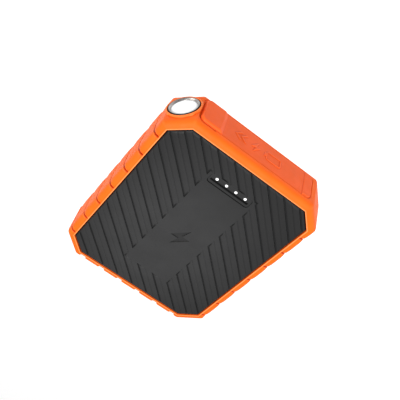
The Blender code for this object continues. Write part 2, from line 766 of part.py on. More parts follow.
def port_flap(workshop):
    """The moving flap. Its parent empty stands on the hinge line."""
    hinge = bpy.data.objects.new("flap_hinge_line", None)
    hinge.location = (*HINGE_XY, (FLAP_Z[0] + FLAP_Z[1]) / 2)
    hinge.empty_display_size = HINGE_MARK
    workshop.parts.objects.link(hinge)
    end_radii = (0.0, FLAP_R, FLAP_R, 0.0)
    outline = rounded_box((FLAP_X[0], FLAP_Z[0]), (FLAP_X[1], FLAP_Z[1]), end_radii)
    mesh = upright_mesh("port_flap", [outline], WALL_Y, WALL_Y + FLAP_T)
    flap = workshop.part("port_flap", mesh, "flap_rubber")
    tab_low = (TAB_X, FLAP_Z[0] + TAB_MARGIN)
    tab_high = (FLAP_X[1] - TAB_MARGIN, FLAP_Z[1] - TAB_MARGIN)
    tab_outline = rounded_box(tab_low, tab_high, end_radii)
    tab_mesh = upright_mesh("pull_tab", [tab_outline], WALL_Y - TAB_PROUD, WALL_Y + TAB_ROUND)
    tab = workshop.cutter("pull_tab", tab_mesh)
    soften(tab, TAB_ROUND, 2, 60.0)
    boolean(flap, tab, "UNION")
    lip_outlines = []
    for inset in (0.0, LIP_T):
        low = (LIP_X + inset, BAY_Z[0] + LIP_INSET + inset)
        high = (BAY_X - LIP_INSET - inset, BAY_Z[1] - LIP_INSET - inset)
        lip_outlines.append(rounded_box(low, high, (LIP_R,) * 4, 2))
    back_y = WALL_Y + FLAP_T
    lip = upright_mesh("sealing_lip", lip_outlines, back_y - LIP_PROUD, back_y + LIP_PROUD)
    boolean(flap, workshop.cutter("sealing_lip", lip), "UNION")
    flap.parent = hinge
    flap.matrix_parent_inverse = Matrix.Translation(hinge.location).inverted()
    return flap


def flap_anchor(workshop):
    """The fixed end of the flap's strip, seated in the bumper."""
    radii = (FLAP_R, 0.0, 0.0, FLAP_R)
    outline = rounded_box((ANCHOR_X[0], FLAP_Z[0]), (ANCHOR_X[1], FLAP_Z[1]), radii)
    mesh = upright_mesh("flap_anchor", [outline], WALL_Y - ANCHOR_PROUD, WALL_Y + FLAP_T)
    return workshop.part("flap_anchor", mesh, "flap_rubber")


def centred_outline(x, z, size_x, size_z, radius, grow=0.0):
    half_x, half_z = size_x / 2 + grow, size_z / 2 + grow
    return rounded_box((x - half_x, z - half_z), (x + half_x, z + half_z), (radius + grow,) * 4)


def port_bezel(workshop):
    low, high = (-BAY_X + GAP, BAY_Z[0] + GAP), (BAY_X - GAP, BAY_Z[1] - GAP)
    outlines = [
        rounded_box(low, high, (BEZEL_CORNER_R,) * 4, 2),
        centred_outline(JUMP_X, PORT_Z, JUMP_SIZE[0], JUMP_SIZE[2], JUMP_R, GAP),
        centred_outline(USB_A_X, PORT_Z, USB_A_SIZE[0], USB_A_SIZE[2], USB_A_R, GAP),
        centred_outline(USB_C_X, USB_C_Z, USB_C_SIZE[0], USB_C_SIZE[2], USB_C_R, GAP),
    ]
    return workshop.part("port_bezel", upright_mesh("port_bezel", outlines, *BEZEL_Y), "frame_black")


def jump_socket(workshop):
    outline = centred_outline(JUMP_X, PORT_Z, JUMP_SIZE[0], JUMP_SIZE[2], JUMP_R)
    back_y = PORT_FRONT_Y + JUMP_SIZE[1]
    mesh = upright_mesh("jump_socket", [outline], PORT_FRONT_Y, back_y)
    socket = workshop.part("jump_socket", mesh, "socket_blue")
    cavity = centred_outline(JUMP_X, PORT_Z, JUMP_CAVITY[0], JUMP_CAVITY[2], JUMP_CAVITY_R)
    floor_y = PORT_FRONT_Y + JUMP_CAVITY[1]
    cavity_mesh = upright_mesh("cavity", [cavity], PORT_FRONT_Y - OVERRUN, floor_y)
    boolean(socket, workshop.cutter("jump_cavity", cavity_mesh))
    turn = Matrix.Rotation(math.radians(90.0), 4, "X")
    for name, side in (("jump_contact_positive", -1), ("jump_contact_negative", 1)):
        place = Matrix.Translation((JUMP_X + side * JUMP_CONTACT_X, floor_y - GAP, PORT_Z))
        contact_mesh = cylinder_mesh(name, JUMP_CONTACT_R, 0.0, JUMP_CONTACT_LENGTH, 20)
        contact = workshop.part(name, contact_mesh, "gold_contact", place @ turn)
        soften(contact, JUMP_CONTACT_R / 5, 2, 60.0)


def usb_socket(workshop, name, x, z, size, radius, tongue_size, tongue_rise):
    back_y = PORT_FRONT_Y + size[1]
    outline = centred_outline(x, z, size[0], size[2], radius)
    shell_mesh = upright_mesh(name, [outline], PORT_FRONT_Y, back_y)
    shell = workshop.part(name + "_shell", shell_mesh, "bright_metal")
    bore = centred_outline(x, z, size[0], size[2], radius, -SHELL_WALL)
    bore_mesh = upright_mesh("bore", [bore], PORT_FRONT_Y - OVERRUN, back_y - SHELL_BACK)
    boolean(shell, workshop.cutter(name + "_bore", bore_mesh))
    tongue_outline = centred_outline(x, z + tongue_rise, tongue_size[0], tongue_size[2], TONGUE_R)
    tongue_back = back_y - SHELL_BACK - GAP
    tongue_mesh = upright_mesh("tongue", [tongue_outline], tongue_back - tongue_size[1], tongue_back)
    workshop.part(name + "_tongue", tongue_mesh, "frame_black")


def ports(workshop):
    port_bezel(workshop)
    jump_socket(workshop)
    a_tongue = (USB_A_TONGUE, USB_A_TONGUE_RISE)
    c_tongue = (USB_C_TONGUE, 0.0)
    usb_socket(workshop, "usb_a", USB_A_X, PORT_Z, USB_A_SIZE, USB_A_R, *a_tongue)
    usb_socket(workshop, "usb_c", USB_C_X, USB_C_Z, USB_C_SIZE, USB_C_R, *c_tongue)


# Torch.


def seal_profile():
    """Round the seal's cord, clockwise, so that its outer side runs downwards."""
    angles = [-2 * math.pi * i / SEAL_SIDES for i in range(SEAL_SIDES)]
    centre = (SEAL_RING_R, SEAL_STATION)
    return [(centre[0] + SEAL_CORD_R * math.cos(a), centre[1] + SEAL_CORD_R * math.sin(a)) for a in angles]


def reflector_profile():
    """A deep bowl: its outer side from the rim down to the neck, then its inner side back up."""
    (rim_r, rim_z), (neck_r, neck_z) = REFLECTOR_RIM, REFLECTOR_NECK
    places = [i / REFLECTOR_STEPS for i in range(REFLECTOR_STEPS + 1)]
    outer = [(neck_r + (rim_r - neck_r) * math.sqrt(1 - t), rim_z + (neck_z - rim_z) * t) for t in places]
    inner = [(radius - REFLECTOR_T, height) for radius, height in reversed(outer)]
    return outer + inner


def torch(workshop):
    place = torch_frame()
    bezel = [
        (BEZEL_R - BEZEL_EDGE, TORCH_PROUD),
        (BEZEL_R, TORCH_PROUD - BEZEL_EDGE),
        (BEZEL_R, BEZEL_BACK),
        (BEZEL_BORE_R, BEZEL_BACK),
        (BEZEL_BORE_R, TORCH_PROUD - BEZEL_FLARE[1]),
        (BEZEL_BORE_R + BEZEL_FLARE[0], TORCH_PROUD),
    ]
    turned(workshop, "torch_bezel", bezel, "dark_chrome", place, 40)
    dome = [(LENS_R * math.sin(a), LENS_RIM + LENS_RISE * math.cos(a)) for a in LENS_ANGLES]
    lens = dome + [(LENS_R, 0.0), (LENS_R, BEZEL_BACK), (0.0, BEZEL_BACK)]
    turned(workshop, "torch_lens", lens, "clear_plastic", place, 32, closed=False)
    turned(workshop, "torch_seal", seal_profile(), "seal_rubber", place, 24)
    turned(workshop, "torch_reflector", reflector_profile(), "bright_metal", place, 32)
    outer_back, inner_back, front = TORCH_BODY
    body = [
        (TORCH_BODY_R, front),
        (TORCH_BODY_R, outer_back),
        (TORCH_WIRE_HOLE_R, outer_back),
        (TORCH_WIRE_HOLE_R, inner_back),
        (TORCH_BODY_BORE_R, inner_back),
        (TORCH_BODY_BORE_R, front),
    ]
    turned(workshop, "torch_body", body, "frame_black", place, 32)
    board = cylinder_mesh("torch_board", TORCH_BOARD_R, *TORCH_BOARD)
    workshop.part("torch_board", board, "board_green", place)
    low, high = (-EMITTER_HALF, -EMITTER_HALF, EMITTER[0]), (EMITTER_HALF, EMITTER_HALF, EMITTER[1])
    workshop.part("torch_emitter", box_mesh("torch_emitter", low, high), "light_white", place)


# Power button, lights and their board.


def light_places():
    middle = (LIGHT_COUNT - 1) / 2
    return [((index - middle) * LIGHT_PITCH, LIGHT_Y) for index in range(LIGHT_COUNT)]


def power_button(workshop):
    """The pressed bar. Its origin lies on the line that it slides along."""
    place = Matrix.Translation((*BUTTON_CENTRE, 0.0))
    flange_top = TOP_COVER_Z[0] - GAP
    flange_low = flange_top - BUTTON_FLANGE_T
    mesh = plate_mesh("power_button", [button_outline(0.0)], flange_top - OVERRUN / 2, BUTTON_TOP_Z)
    mesh.transform(place.inverted())
    button = workshop.part("power_button", mesh, "dark_cover", place)
    flange = plate_mesh("button_flange", [button_outline(BUTTON_FLANGE)], flange_low, flange_top)
    boolean(button, workshop.cutter("button_flange", flange), "UNION")
    pusher_low = (-PUSHER_HALF, -PUSHER_HALF, PUSHER_LOW_Z)
    pusher_high = (PUSHER_HALF, PUSHER_HALF, flange_low + OVERRUN / 2)
    pusher = box_mesh("pusher", pusher_low, pusher_high)
    boolean(button, workshop.cutter("button_pusher", pusher, place), "UNION")
    trough_x = BUTTON_SIZE[0] / 2 - TROUGH_END
    trough_low = (-trough_x, BUTTON_CENTRE[1] + TROUGH_Y[0], BUTTON_TOP_Z - TROUGH_D)
    trough_high = (trough_x, BUTTON_CENTRE[1] + TROUGH_Y[1], BUTTON_TOP_Z + OVERRUN)
    boolean(button, workshop.cutter("button_trough", box_mesh("trough", trough_low, trough_high)))
    for index, (x, y) in enumerate(light_places()):
        spot = Matrix.Translation((x, y, 0.0))
        hole_span = (flange_low - 2 * OVERRUN, BUTTON_TOP_Z + OVERRUN)
        hole = cylinder_mesh("hole", LIGHT_R + LIGHT_GAP, *hole_span, 16)
        boolean(button, workshop.cutter(f"light_hole_{index}", hole, spot))
        pipe = cylinder_mesh(f"light_pipe_{index + 1}", LIGHT_R, LIGHT_LOW_Z, BUTTON_TOP_Z, 16)
        workshop.part(f"light_pipe_{index + 1}", pipe, "light_white", spot)
    return button


def tactile_switch(workshop):
    y, base_z = BUTTON_CENTRE[1], BUTTON_BOARD_Z[1] + GAP
    low = (-SWITCH_HALF[0], y - SWITCH_HALF[1], base_z)
    high = (SWITCH_HALF[0], y + SWITCH_HALF[1], base_z + SWITCH_H)
    switch = workshop.part("tactile_switch", box_mesh("tactile_switch", low, high), "frame_black")
    plunger = cylinder_mesh("plunger", PLUNGER_R, base_z + SWITCH_H / 2, PLUNGER_TOP_Z, 16)
    place = Matrix.Translation((0.0, y, 0.0))
    boolean(switch, workshop.cutter("switch_plunger", plunger, place), "UNION")


def button_board(workshop):
    low_z, high_z = BUTTON_BOARD_Z
    y = BUTTON_CENTRE[1]
    half_x, half_y = BUTTON_BOARD_HALF
    outline = rounded_box((-half_x, y - half_y), (half_x, y + half_y), (BOARD_CORNER_R,) * 4, 2)
    holes = [arc((side * BUTTON_BOARD_SCREW_X, y), SMALL_HOLE_R, 0.0, 330.0, 11) for side in (-1, 1)]
    mesh = plate_mesh("button_board", [outline, *holes], low_z, high_z)
    workshop.part("button_board", mesh, "board_green")
    tactile_switch(workshop)
    for index, (x, light_y) in enumerate(light_places()):
        half = STATUS_LIGHT_HALF
        low = (x - half[0], light_y - half[1], high_z + GAP)
        high = (x + half[0], light_y + half[1], high_z + GAP + STATUS_LIGHT_H)
        workshop.part(f"status_light_{index + 1}", box_mesh("status_light", low, high), "light_white")
    screw = [
        (0.0, SMALL_SCREW_Z[1]),
        (SMALL_SCREW_R, SMALL_SCREW_Z[0]),
        (SMALL_SCREW_R, low_z - GAP),
        (SMALL_SCREW_HEAD_R, low_z - GAP),
        (SMALL_SCREW_HEAD_R, SMALL_SCREW_HEAD_Z),
        (0.0, SMALL_SCREW_HEAD_Z),
    ]
    for index, side in enumerate((-1, 1)):
        spot = Matrix.Translation((side * BUTTON_BOARD_SCREW_X, y, 0.0))
        turned(workshop, f"board_screw_{index + 1}", screw, "bright_metal", spot, 16, closed=False)


# Cells and power board.


def cells(workshop):
    """Three pouch cells, stacked, with the links that join them in a row and their protection board."""
    half_x, half_y = CELL_SIZE[0] / 2, CELL_SIZE[1] / 2
    outline = rounded_box(
        (-half_x, CELL_CENTRE_Y - half_y),
        (half_x, CELL_CENTRE_Y + half_y),
        (CELL_CORNER_R,) * 4,
        2,
    )
    for index in range(CELL_COUNT):
        name = f"cell_{index + 1}"
        z = CELL_FIRST_Z + index * CELL_STEP_Z
        cell = workshop.part(name, plate_mesh(name, [outline], z, z + CELL_SIZE[2]), "cell_foil")
        soften(cell, CELL_ROUND, 2, 50.0)
    for index in range(CELL_COUNT - 1):
        x = (index - 0.5) * 2 * LINK_X
        low_z = CELL_FIRST_Z + LINK_RISE + index * CELL_STEP_Z
        low = (x - LINK_HALF, CELL_FRONT_Y - GAP - LINK_T, low_z)
        high = (x + LINK_HALF, CELL_FRONT_Y - GAP, low_z + LINK_H)
        workshop.part(f"cell_link_{index + 1}", box_mesh("cell_link", low, high), "bright_metal")
    low = (-PROTECTION_HALF_X, CELL_FRONT_Y - PROTECTION_Y[0], PROTECTION_Z[0])
    high = (PROTECTION_HALF_X, CELL_FRONT_Y - PROTECTION_Y[1], PROTECTION_Z[1])
    workshop.part("protection_board", box_mesh("protection_board", low, high), "board_green")


def cell_packing(workshop):
    """The tray under the cells and the pad above them."""
    half_x = CELL_SIZE[0] / 2 + TRAY_MARGIN[0]
    half_y = CELL_SIZE[1] / 2 + TRAY_MARGIN[1]
    low = (-half_x, CELL_CENTRE_Y - half_y, COVER_T + GAP)
    high = (half_x, CELL_CENTRE_Y + half_y, TRAY_TOP_Z)
    tray = workshop.part("cell_tray", box_mesh("cell_tray", low, high), "frame_black")
    inside_low = (low[0] + TRAY_WALL, low[1] + TRAY_WALL, CELL_FIRST_Z - GAP)
    inside_high = (high[0] - TRAY_WALL, high[1] - TRAY_WALL, TRAY_TOP_Z + OVERRUN)
    boolean(tray, workshop.cutter("tray_inside", box_mesh("tray_inside", inside_low, inside_high)))
    pad_z = CELL_FIRST_Z + (CELL_COUNT - 1) * CELL_STEP_Z + CELL_SIZE[2] + GAP
    pad_mesh = box_mesh("foam_pad", (*PAD_LOW, pad_z), (*PAD_HIGH, TOP_COVER_Z[0] - GAP))
    soften(workshop.part("foam_pad", pad_mesh, "foam_grey"), PAD_ROUND)


def power_board(workshop):
    low, high = MAIN_BOARD
    workshop.part("main_board", box_mesh("main_board", low, high), "board_green")
    top = high[2] + GAP
    coil = box_mesh("inductor", (*COIL_LOW, top), (*COIL_HIGH, top + COIL_H))
    soften(workshop.part("inductor", coil, "foam_grey"), COIL_H / 6)
    place = Matrix.Translation((*CAN_XY, 0.0))
    can = cylinder_mesh("capacitor", CAN_R, top, top + CAN_H)
    soften(workshop.part("capacitor", can, "cell_foil", place), CAN_R / 10, 2, 60.0)


def wiring(workshop):
    board_y = CELL_FRONT_Y - PROTECTION_Y[0] - GAP
    socket_y = PORT_FRONT_Y + JUMP_SIZE[1] + GAP
    middle_y = (socket_y + board_y) / 2
    for colour, side in (("red", -1), ("black", 1)):
        x = JUMP_X + side * JUMP_CONTACT_X
        stub_start = (x, socket_y, PORT_Z)
        start = (x, socket_y + LEAD_STUB, PORT_Z)
        middle = (x - LEAD_SHIFT, middle_y, LEAD_Z[0])
        end = (x - LEAD_SHIFT, board_y - LEAD_STUB, LEAD_Z[1])
        stub_end = (x - LEAD_SHIFT, board_y, LEAD_Z[1])
        path = [stub_start, *bend_points(start, middle, end), stub_end]
        wire(workshop, f"battery_lead_{colour}", path, LEAD_R, f"wire_{colour}")
    place = torch_frame()
    for colour, side in (("red", -1), ("black", 1)):
        start = place @ Vector((side * TORCH_WIRE_SPREAD, 0.0, TORCH_WIRE_START))
        lead = place @ Vector((side * TORCH_WIRE_SPREAD, 0.0, TORCH_WIRE_STUB))
        middle = (lead.x - TORCH_WIRE_BEND, lead.y + TORCH_WIRE_BEND, TORCH_WIRE_Z)
        end_y = TORCH_WIRE_END[1] + side * 2 * TORCH_WIRE_SPREAD
        end = (TORCH_WIRE_END[0], end_y, MAIN_BOARD[1][2] + GAP)
        path = [start, *bend_points(lead, middle, end)]
        wire(workshop, f"torch_wire_{colour}", path, TORCH_WIRE_R, f"wire_{colour}")


def rear_screws(workshop):
    head_low, head_top = SCREW_HEAD_Z
    profile = [
        (0.0, SCREW_TIP_Z[2]),
        (SCREW_TIP_R, SCREW_TIP_Z[1]),
        (SCREW_R, SCREW_TIP_Z[0]),
        (SCREW_R, head_top),
        (SCREW_HEAD_R, head_top),
        (SCREW_HEAD_R, head_low + SCREW_HEAD_EDGE),
        (SCREW_HEAD_R - SCREW_HEAD_EDGE, head_low),
        (0.0, head_low),
    ]
    for index, (x, y) in enumerate(BOSS_SPOTS):
        name = f"rear_screw_{index + 1}"
        spot = Matrix.Translation((x, y, 0.0))
        screw = turned(workshop, name, profile, "bright_metal", spot, 20, closed=False)
        recess = cylinder_mesh("recess", SCREW_R, -OVERRUN, RECESS_Z, 6)
        boolean(screw, workshop.cutter(f"screw_recess_{index}", recess, spot))


def main():
    clear_scene()
    workshop = Workshop()
    top_cover(workshop)
    rear_cover(workshop)
    gaskets(workshop)
    housing_frame(workshop)
    bumper(workshop)
    port_flap(workshop)
    flap_anchor(workshop)
    ports(workshop)
    torch(workshop)
    power_button(workshop)
    button_board(workshop)
    cells(workshop)
    cell_packing(workshop)
    power_board(workshop)
    wiring(workshop)
    rear_screws(workshop)


main()
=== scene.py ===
"""Looks of the jump starter pack: finer shells, rubber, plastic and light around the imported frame."""

import json
import math

import bmesh
import bpy
import numpy as np
from mathutils import Matrix, Vector


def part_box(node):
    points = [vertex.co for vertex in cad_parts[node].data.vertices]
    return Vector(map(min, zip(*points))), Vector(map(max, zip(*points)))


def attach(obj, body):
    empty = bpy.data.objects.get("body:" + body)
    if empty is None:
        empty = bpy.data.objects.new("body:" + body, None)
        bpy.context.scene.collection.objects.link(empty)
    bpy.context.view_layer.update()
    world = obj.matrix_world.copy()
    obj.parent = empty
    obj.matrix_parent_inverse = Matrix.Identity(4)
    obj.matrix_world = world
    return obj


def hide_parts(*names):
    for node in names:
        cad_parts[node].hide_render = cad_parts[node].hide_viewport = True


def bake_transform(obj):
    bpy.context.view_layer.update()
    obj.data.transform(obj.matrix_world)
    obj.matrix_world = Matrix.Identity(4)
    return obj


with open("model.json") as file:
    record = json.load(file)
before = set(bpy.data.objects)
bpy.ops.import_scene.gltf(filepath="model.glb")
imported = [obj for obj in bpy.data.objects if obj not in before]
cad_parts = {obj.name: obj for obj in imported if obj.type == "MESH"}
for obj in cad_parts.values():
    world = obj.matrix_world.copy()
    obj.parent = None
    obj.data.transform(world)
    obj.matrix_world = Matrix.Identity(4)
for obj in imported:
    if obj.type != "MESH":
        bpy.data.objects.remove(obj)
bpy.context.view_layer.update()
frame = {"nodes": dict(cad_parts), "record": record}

# Camera. Degrees, metres and millimetres of focal length.
CAMERA_PLACE = (0.09210, -0.24010, 0.29189)
CAMERA_AZIMUTH = 21.52
CAMERA_DEPRESSION = 49.03
CAMERA_ROLL = -161.53
CAMERA_LENS = 59.887

# The pack floats well above a floor that glows softly, under an even sky.
FLOOR_Z = -0.34
FLOOR_HALF = 3.0
FLOOR_GLOW = 0.50
SKY_STRENGTH = 0.42

# Area lights: place, target, disc diameter, power in watts and colour.
LIGHTS = {
    "key_light": ((0.10, -0.12, 0.75), (0.0, 0.0, 0.0), 0.60, 7.2, (1.0, 1.0, 1.0)),
    "side_light": ((-0.60, -0.35, 0.30), (0.0, 0.0, 0.01), 0.4, 2.0, (1.0, 1.0, 1.0)),
    "wall_light": ((0.62, -0.02, 0.20), (0.0, 0.0, 0.01), 0.4, 1.6, (1.0, 0.95, 0.88)),
}

# Main sizes, read from the frame.
bumper_low, bumper_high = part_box("bumper")
cover_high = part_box("top_cover")[1]
flap_low, flap_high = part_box("port_flap")
anchor_low, anchor_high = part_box("flap_anchor")
button_low, button_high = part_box("power_button")
HALF_X = -bumper_low.x
HALF_Y = bumper_high.y
TOP_Z = cover_high.z
RIM = HALF_X - cover_high.x
WALL_Y = -HALF_Y

# The pack's outline, with the steps round a corner and along each of the eight sides.
COVER_LEG = 0.0092
CORNER_R = 0.0022
CORNER_STEPS = 6
SIDE_STEP = (0.00036, 0.0012, 0.00045, 0.0012, 0.00036, 0.0012, 0.0015, 0.0012)
GAP = 0.0003
COVER_T = 0.0024
COVER_EDGE_R = 0.0017

# Ribs at 45 degrees: sloping channels between them, and a plain band along the middle.
RIB_PITCH = 0.00753
RIB_PHASE = 0.00277
RIB_GRID_STEP = 0.0011
BAND_X = 0.0149
BAND_Y = (-0.0455, 0.0402)
BAND_MARGIN = 0.002
MARK_CENTRE = (0.0, 0.0040)
MARK_SIZE = 0.0160

# Across a channel, in millimetres from its deep line: places, their depths, and the rows of the mesh.
CHANNEL_PLACE = (-3.765, -3.60, -3.30, -2.80, -0.72, -0.44, -0.25, 0.31, 0.50, 0.72, 3.30, 3.56, 3.765)
CHANNEL_DEPTH = (0.27, 0.33, 0.20, 0.12, 0.34, 0.44, 0.86, 0.86, 0.14, 0.0, 0.0, 0.08, 0.27)
CHANNEL_ROWS = sorted((*CHANNEL_PLACE[:-1], -2.1, -1.4, 0.03, 1.6, 2.5))
LINE_DEPTH = 0.00086
END_WALL = 0.00020
CREASE_DEPTH = 0.00055
CREASE_ENDS = (0.00055, 0.00085)
END_LINES = (0.0, 0.00010, END_WALL, *CREASE_ENDS)
REAR_DEPTH = 0.6

# The bumper's upper edge in millimetres, as (inset, height), from the inner lip over the bead to the wall.
TOP_EDGE = (
    (4.56, 25.5), (4.56, 26.62), (4.52, 26.80), (4.42, 26.92), (4.25, 26.97), (4.07, 26.94), (3.90, 26.86),
    (3.72, 26.77), (3.10, 26.66), (2.55, 26.54), (2.05, 26.38), (1.60, 26.16), (1.20, 25.88), (0.86, 25.54),
    (0.58, 25.14), (0.37, 24.70), (0.21, 24.22), (0.10, 23.70), (0.03, 23.15), (0.0, 22.5),
)
WALL_ROWS = 26
INNER_ROWS = 8

# Grip tiles: bowed grooves on the two X sides, spaced along Y, and straight gaps on the +Y side.
GROOVE_PITCH = 0.01515
GROOVE_FIRST_Y = -0.0432
GROOVE_COUNT = 7
GROOVE_BOW = 0.0030
GROOVE_TOP = 0.0024
GROOVE_DEPTH = 0.00130
GROOVE_HALF = 0.00046
TILE_DOME = 0.00034
TILE_DOME_HALF = 0.0024
GAP_PITCH = 0.0132
GAP_WIDTH = 0.0034
GAP_COUNT = 6
GAP_DEPTH = 0.0020

# Flap and the port bay behind it.
FLAP_R = 0.0030
FLAP_SEAT_GAP = 0.00025
FLAP_BACK_Y = WALL_Y + 0.0022
FLAP_SUNK = 0.00015
FLAP_CROWN = 0.00012
FLAP_EDGE_R = 0.0006
FLAP_MESH_STEP = 0.00030
ANCHOR_EDGE_R = 0.0008
ANCHOR_MESH_STEP = 0.00035
LIP_INSET = 0.0008
TAB_X = 0.0243
TAB_PROUD = 0.0015
TAB_RAMP = (TAB_X - 0.0024, TAB_X + 0.0008)
TAB_SHOULDER = 0.0012
SIGN_RELIEF = 0.00040
HINGE_XY = (-0.02915, -0.0646)
BAY_X = 0.0310
BAY_Z = (0.0056, 0.0194)
BAY_R = 0.0015
# Distances from an edge at which the flap's mesh has its first lines, so that its rounding is smooth.
SOFT_ENDS = (0.0, 0.00004, 0.00012, 0.00025, 0.00042, 0.00065, 0.0009, 0.0012)

# Ports: corner radius of each opening, and a softened front edge as (grow, y).
PORT_R = {"jump_socket": 0.0008, "usb_a_shell": 0.0005, "usb_c_shell": 0.0015}
SOFT_FRONT = ((0.0, 0.00035), (-0.00008, 0.00012), (-0.00030, 0.0))
TONGUE_R = 0.00025
USB_A_SPOTS = (-0.0035, -0.0010, 0.0010, 0.0035)
USB_C_SPOTS = tuple((index - 4.5) * 0.0006 for index in range(10))

# Torch.
TORCH_Z = 0.0133
LENS_R = 0.0069

# Power button and its lights.
BUTTON_FLANGE = 0.0010
BUTTON_R = 0.0016
BUTTON_TOP_Z = 0.0268
BUTTON_MID = ((button_high.x + button_low.x) / 2, (button_high.y + button_low.y) / 2)
BUTTON_HALF = (
    (button_high.x - button_low.x) / 2 - BUTTON_FLANGE,
    (button_high.y - button_low.y) / 2 - BUTTON_FLANGE,
)
SLOT_GAP = 0.00007
SLOT_GAP_BACK = 0.00042
TROUGH_END = 0.0010
TROUGH_Y = (0.00002, 0.00155)
LIGHT_COUNT = 4
LIGHT_Y = -0.0434
LIGHT_PITCH = 0.00613
LIGHT_R = 0.0008
LIGHT_X = [(index - (LIGHT_COUNT - 1) / 2) * LIGHT_PITCH for index in range(LIGHT_COUNT)]

# Screws of the rear cover.
SCREW_COUNT = 4


# New objects.


def add_object(name, data, place=None):
    made = bpy.data.objects.new(name, data)
    if place is not None:
        made.matrix_world = place
    bpy.context.scene.collection.objects.link(made)
    return made


def mesh_from(name, bm):
    mesh = bpy.data.meshes.new(name)
    bm.to_mesh(mesh)
    bm.free()
    return mesh


# Camera, light and floor.


def make_camera():
    turn, tilt, roll = (math.radians(v) for v in (CAMERA_AZIMUTH, CAMERA_DEPRESSION, CAMERA_ROLL))
    back = Vector((math.sin(turn) * math.cos(tilt), -math.cos(turn) * math.cos(tilt), math.sin(tilt)))
    level = Vector((0.0, 0.0, 1.0)).cross(back).normalized()
    right = level * math.cos(roll) + back.cross(level) * math.sin(roll)
    axes = Matrix((right, back.cross(right), back)).transposed()
    data = bpy.data.cameras.new("camera")
    data.lens = CAMERA_LENS
    camera = add_object("camera", data, Matrix.Translation(CAMERA_PLACE) @ axes.to_4x4())
    bpy.context.scene.camera = camera


def area_light(name, place, target, size, power, colour):
    data = bpy.data.lights.new(name, "AREA")
    data.shape = "DISK"
    data.size = size
    data.energy = power
    data.color = colour
    aim = (Vector(target) - Vector(place)).to_track_quat("-Z", "Y")
    add_object(name, data, Matrix.Translation(place) @ aim.to_matrix().to_4x4())


def make_light():
    for name, settings in LIGHTS.items():
        area_light(name, *settings)
    world = bpy.data.worlds.new("studio")
    world.use_nodes = True
    sky = world.node_tree.nodes["Background"]
    sky.inputs["Color"].default_value = (1.0, 1.0, 1.0, 1.0)
    sky.inputs["Strength"].default_value = SKY_STRENGTH
    bpy.context.scene.world = world
    bpy.context.scene.view_settings.view_transform = "Standard"


def make_floor():
    bm = bmesh.new()
    bmesh.ops.create_grid(bm, x_segments=1, y_segments=1, size=FLOOR_HALF)
    floor = add_object("floor", mesh_from("floor", bm), Matrix.Translation((0.0, 0.0, FLOOR_Z)))
    pale = Surface("floor_pale", (0.74, 0.74, 0.74), 0.9)
    mottled = pale.mix(pale.noise(0.12), (0.73, 0.73, 0.73), (0.75, 0.75, 0.75))
    pale.join(mottled, pale.shader.inputs["Base Color"])
    pale.set("Emission Color", (1.0, 1.0, 1.0, 1.0))
    pale.set("Emission Strength", FLOOR_GLOW)
    floor.data.materials.append(pale.material)


# Materials.


